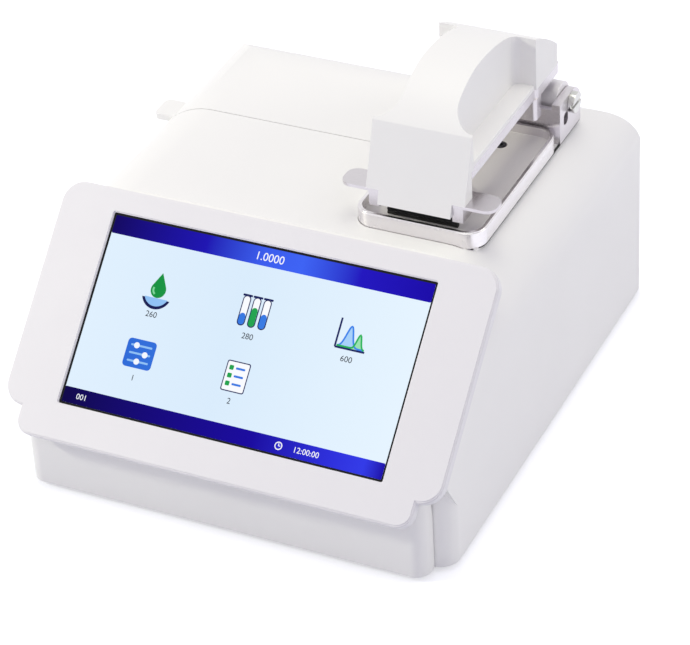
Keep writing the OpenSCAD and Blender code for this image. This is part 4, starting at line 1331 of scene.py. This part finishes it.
@dataclass
class PowerRocker(SubAssembly):
    """Rocker of the power switch with a bar for on and a ring for off.

    Attributes:
        edge: Radius of the rocker's edges.
        mark_rise: Distance of each mark from the rocker's middle.
        mark_h: Height of a mark.
        mark_w: Width of its lines.
        mark_lift: Thickness of the ink.
        clear_of: A distance behind the rocker from which all of it lies ahead.
    """

    body: Body = Body.ROCKER
    edge: float = 0.35
    mark_rise: float = 4.6
    mark_h: float = 3.4
    mark_w: float = 0.7
    mark_lift: float = 0.02
    clear_of: float = 30.0

    def build(self) -> None:
        """Makes the rocker and prints its marks."""
        self.round_off("switch_rocker", BLACK_NYLON, self.edge)
        low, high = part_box("switch_rocker")
        middle = (low + high) / 2
        bar = rounded_box(0, 0, self.mark_w, self.mark_h, self.mark_w / 2 - HAIR)
        ring = [band(arc(0, 0, self.mark_h / 2 - self.mark_w / 2, start, start + 180), self.mark_w)
                for start in (0, 180)]
        self.mark("rocker_on_mark", [bar], middle, self.mark_rise)
        self.mark("rocker_off_mark", ring, middle, -self.mark_rise)

    def mark(self, name: str, outlines: list[Outline], middle: Vector, rise: float) -> None:
        """Prints one mark on the rocker's face, at its real tilt.

        Args:
            name: Name of the mark's piece.
            outlines: Its areas about their own middle.
            middle: Middle of the rocker.
            rise: Height of the mark above the rocker's middle.
        """
        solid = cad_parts["switch_rocker"].data
        tree = BVHTree.FromPolygons([v.co for v in solid.vertices], [p.vertices for p in solid.polygons])
        start = middle + Vector((0, self.clear_of * MM, rise * MM))
        place, normal, _, _ = tree.ray_cast(start, Vector((0, -1, 0)))
        across = Vector((0, 0, 1)).cross(normal).normalized()
        up = normal.cross(across)
        turn = Matrix((across, up, normal)).transposed().to_4x4()
        plane = Matrix.Translation(place) @ turn
        inks = [Ink(outline, MARK_INK, 1) for outline in outlines]
        self.fit(printed(name, inks, plane, self.mark_lift), MARK_INK)


# Studio


@dataclass(frozen=True)
class Lamp:
    """A round lamp that is turned towards the object.

    Attributes:
        name: Its name.
        place: Its place in metres.
        size: Its diameter in metres.
        power: Its power in watts.
    """

    name: str
    place: tuple[float, float, float]
    size: float
    power: float


@dataclass
class Studio:
    """White floor, three lamps, an even light from all around, and the camera.

    Attributes:
        floor_w: Side of the floor.
        lamps: A lamp at the front left, a large one overhead and a weaker one at the right.
        aim: The point in metres that the lamps are turned towards.
        lamp_colour: Colour of the lamps, a little warm.
        sky_level: Strength of the even light from all around.
        sky_colour: Colour of the even light, a little cool.
        camera_place: Place of the camera in metres.
        azimuth: Direction of the camera about the object in degrees, from the front towards the right.
        elevation: Its height over the horizon in degrees.
        roll: Its turn about its own axis in degrees.
        lens: Focal length.
        sensor_w: Width of the camera's sensor.
    """

    floor_w: float = 9000.0
    lamps: tuple[Lamp, ...] = (
        Lamp("key_lamp", (-1.47, -0.85, 1.13), 0.25, 15.0),
        Lamp("top_lamp", (0.0, 0.1, 2.0), 1.2, 9.5),
        Lamp("side_lamp", (1.3, 0.45, 0.7), 0.8, 4.0),
    )
    aim: tuple[float, float, float] = (0.0, 0.0, 0.08)
    lamp_colour: str = "#FEFFEA"
    sky_level: float = 0.64
    sky_colour: str = "#F1EEFF"
    camera_place: tuple[float, float, float] = (0.50112, -0.96602, 0.79378)
    azimuth: float = 27.09
    elevation: float = 34.86
    roll: float = -3.55
    lens: float = 150.67
    sensor_w: float = 36.0

    def build(self) -> None:
        """Sets up floor, light and camera."""
        self.lay_floor()
        self.hang_lamps()
        self.light_world()
        self.place_camera()
        bpy.context.scene.view_settings.view_transform = "Standard"

    def lay_floor(self) -> None:
        """Lays the floor as one level sheet under the feet."""
        form = bmesh.new()
        bmesh.ops.create_grid(form, x_segments=1, y_segments=1, size=self.floor_w / 2 * MM)
        mesh = bpy.data.meshes.new("studio_floor")
        form.to_mesh(mesh)
        form.free()
        vinyl = FloorVinyl("vinyl_white_matt", "panel_grey", "#DADBE2", "#D6D7DE", glow=0.5)
        mesh.materials.append(vinyl.material())
        new_object("studio_floor", mesh)

    def hang_lamps(self) -> None:
        """Hangs the lamps and turns them towards the object."""
        for lamp in self.lamps:
            light = bpy.data.lights.new(lamp.name, "AREA")
            light.shape = "DISK"
            light.size = lamp.size
            light.energy = lamp.power
            light.color = linear(self.lamp_colour)[:3]
            hung = bpy.data.objects.new(lamp.name, light)
            hung.location = lamp.place
            ray = Vector(self.aim) - Vector(lamp.place)
            hung.rotation_euler = ray.to_track_quat("-Z", "Y").to_euler()
            bpy.context.scene.collection.objects.link(hung)

    def light_world(self) -> None:
        """Gives the object an even light, and the camera a white surround."""
        world = bpy.data.worlds.new("white_studio")
        world.use_nodes = True
        tree = world.node_tree
        tree.nodes.clear()
        even = add_node(tree, "Background", {"Color": linear(self.sky_colour), "Strength": self.sky_level})
        white = add_node(tree, "Background", {"Color": (1.0, 1.0, 1.0, 1.0), "Strength": 1.0})
        mixed = add_node(tree, "MixShader", {0: seen_directly(tree), 1: even.outputs[0],
                                             2: white.outputs[0]})
        add_node(tree, "OutputWorld", {"Surface": mixed.outputs[0]})
        bpy.context.scene.world = world

    def place_camera(self) -> None:
        """Places the camera at the photograph's point of view."""
        turn = math.radians(self.azimuth)
        rise = math.radians(self.elevation)
        roll = math.radians(self.roll)
        back = Vector((math.sin(turn) * math.cos(rise), -math.cos(turn) * math.cos(rise), math.sin(rise)))
        level = Vector((math.cos(turn), math.sin(turn), 0))
        upright = back.cross(level)
        right = math.cos(roll) * level + math.sin(roll) * upright
        up = math.cos(roll) * upright - math.sin(roll) * level
        lens = bpy.data.cameras.new("studio_camera")
        lens.sensor_fit = "HORIZONTAL"
        lens.sensor_width = self.sensor_w
        lens.lens = self.lens
        camera = bpy.data.objects.new("studio_camera", lens)
        axes = Matrix((right, up, back)).transposed().to_4x4()
        camera.matrix_world = Matrix.Translation(self.camera_place) @ axes
        bpy.context.scene.collection.objects.link(camera)
        bpy.context.scene.camera = camera


def main() -> None:
    """Builds every sub-assembly in order, then the studio."""
    logging.basicConfig(level=logging.INFO, format="%(name)s: %(message)s")
    for assembly in (Housing(), Electronics(), Display(), SampleStage(), MeasuringArm(), CuvetteBay(),
                     CuvetteLid(), RearFittings(), PowerRocker()):
        assembly.build()
        log.info("%s is done", type(assembly).__name__)
    Studio().build()


if __name__ == "__main__":
    main()
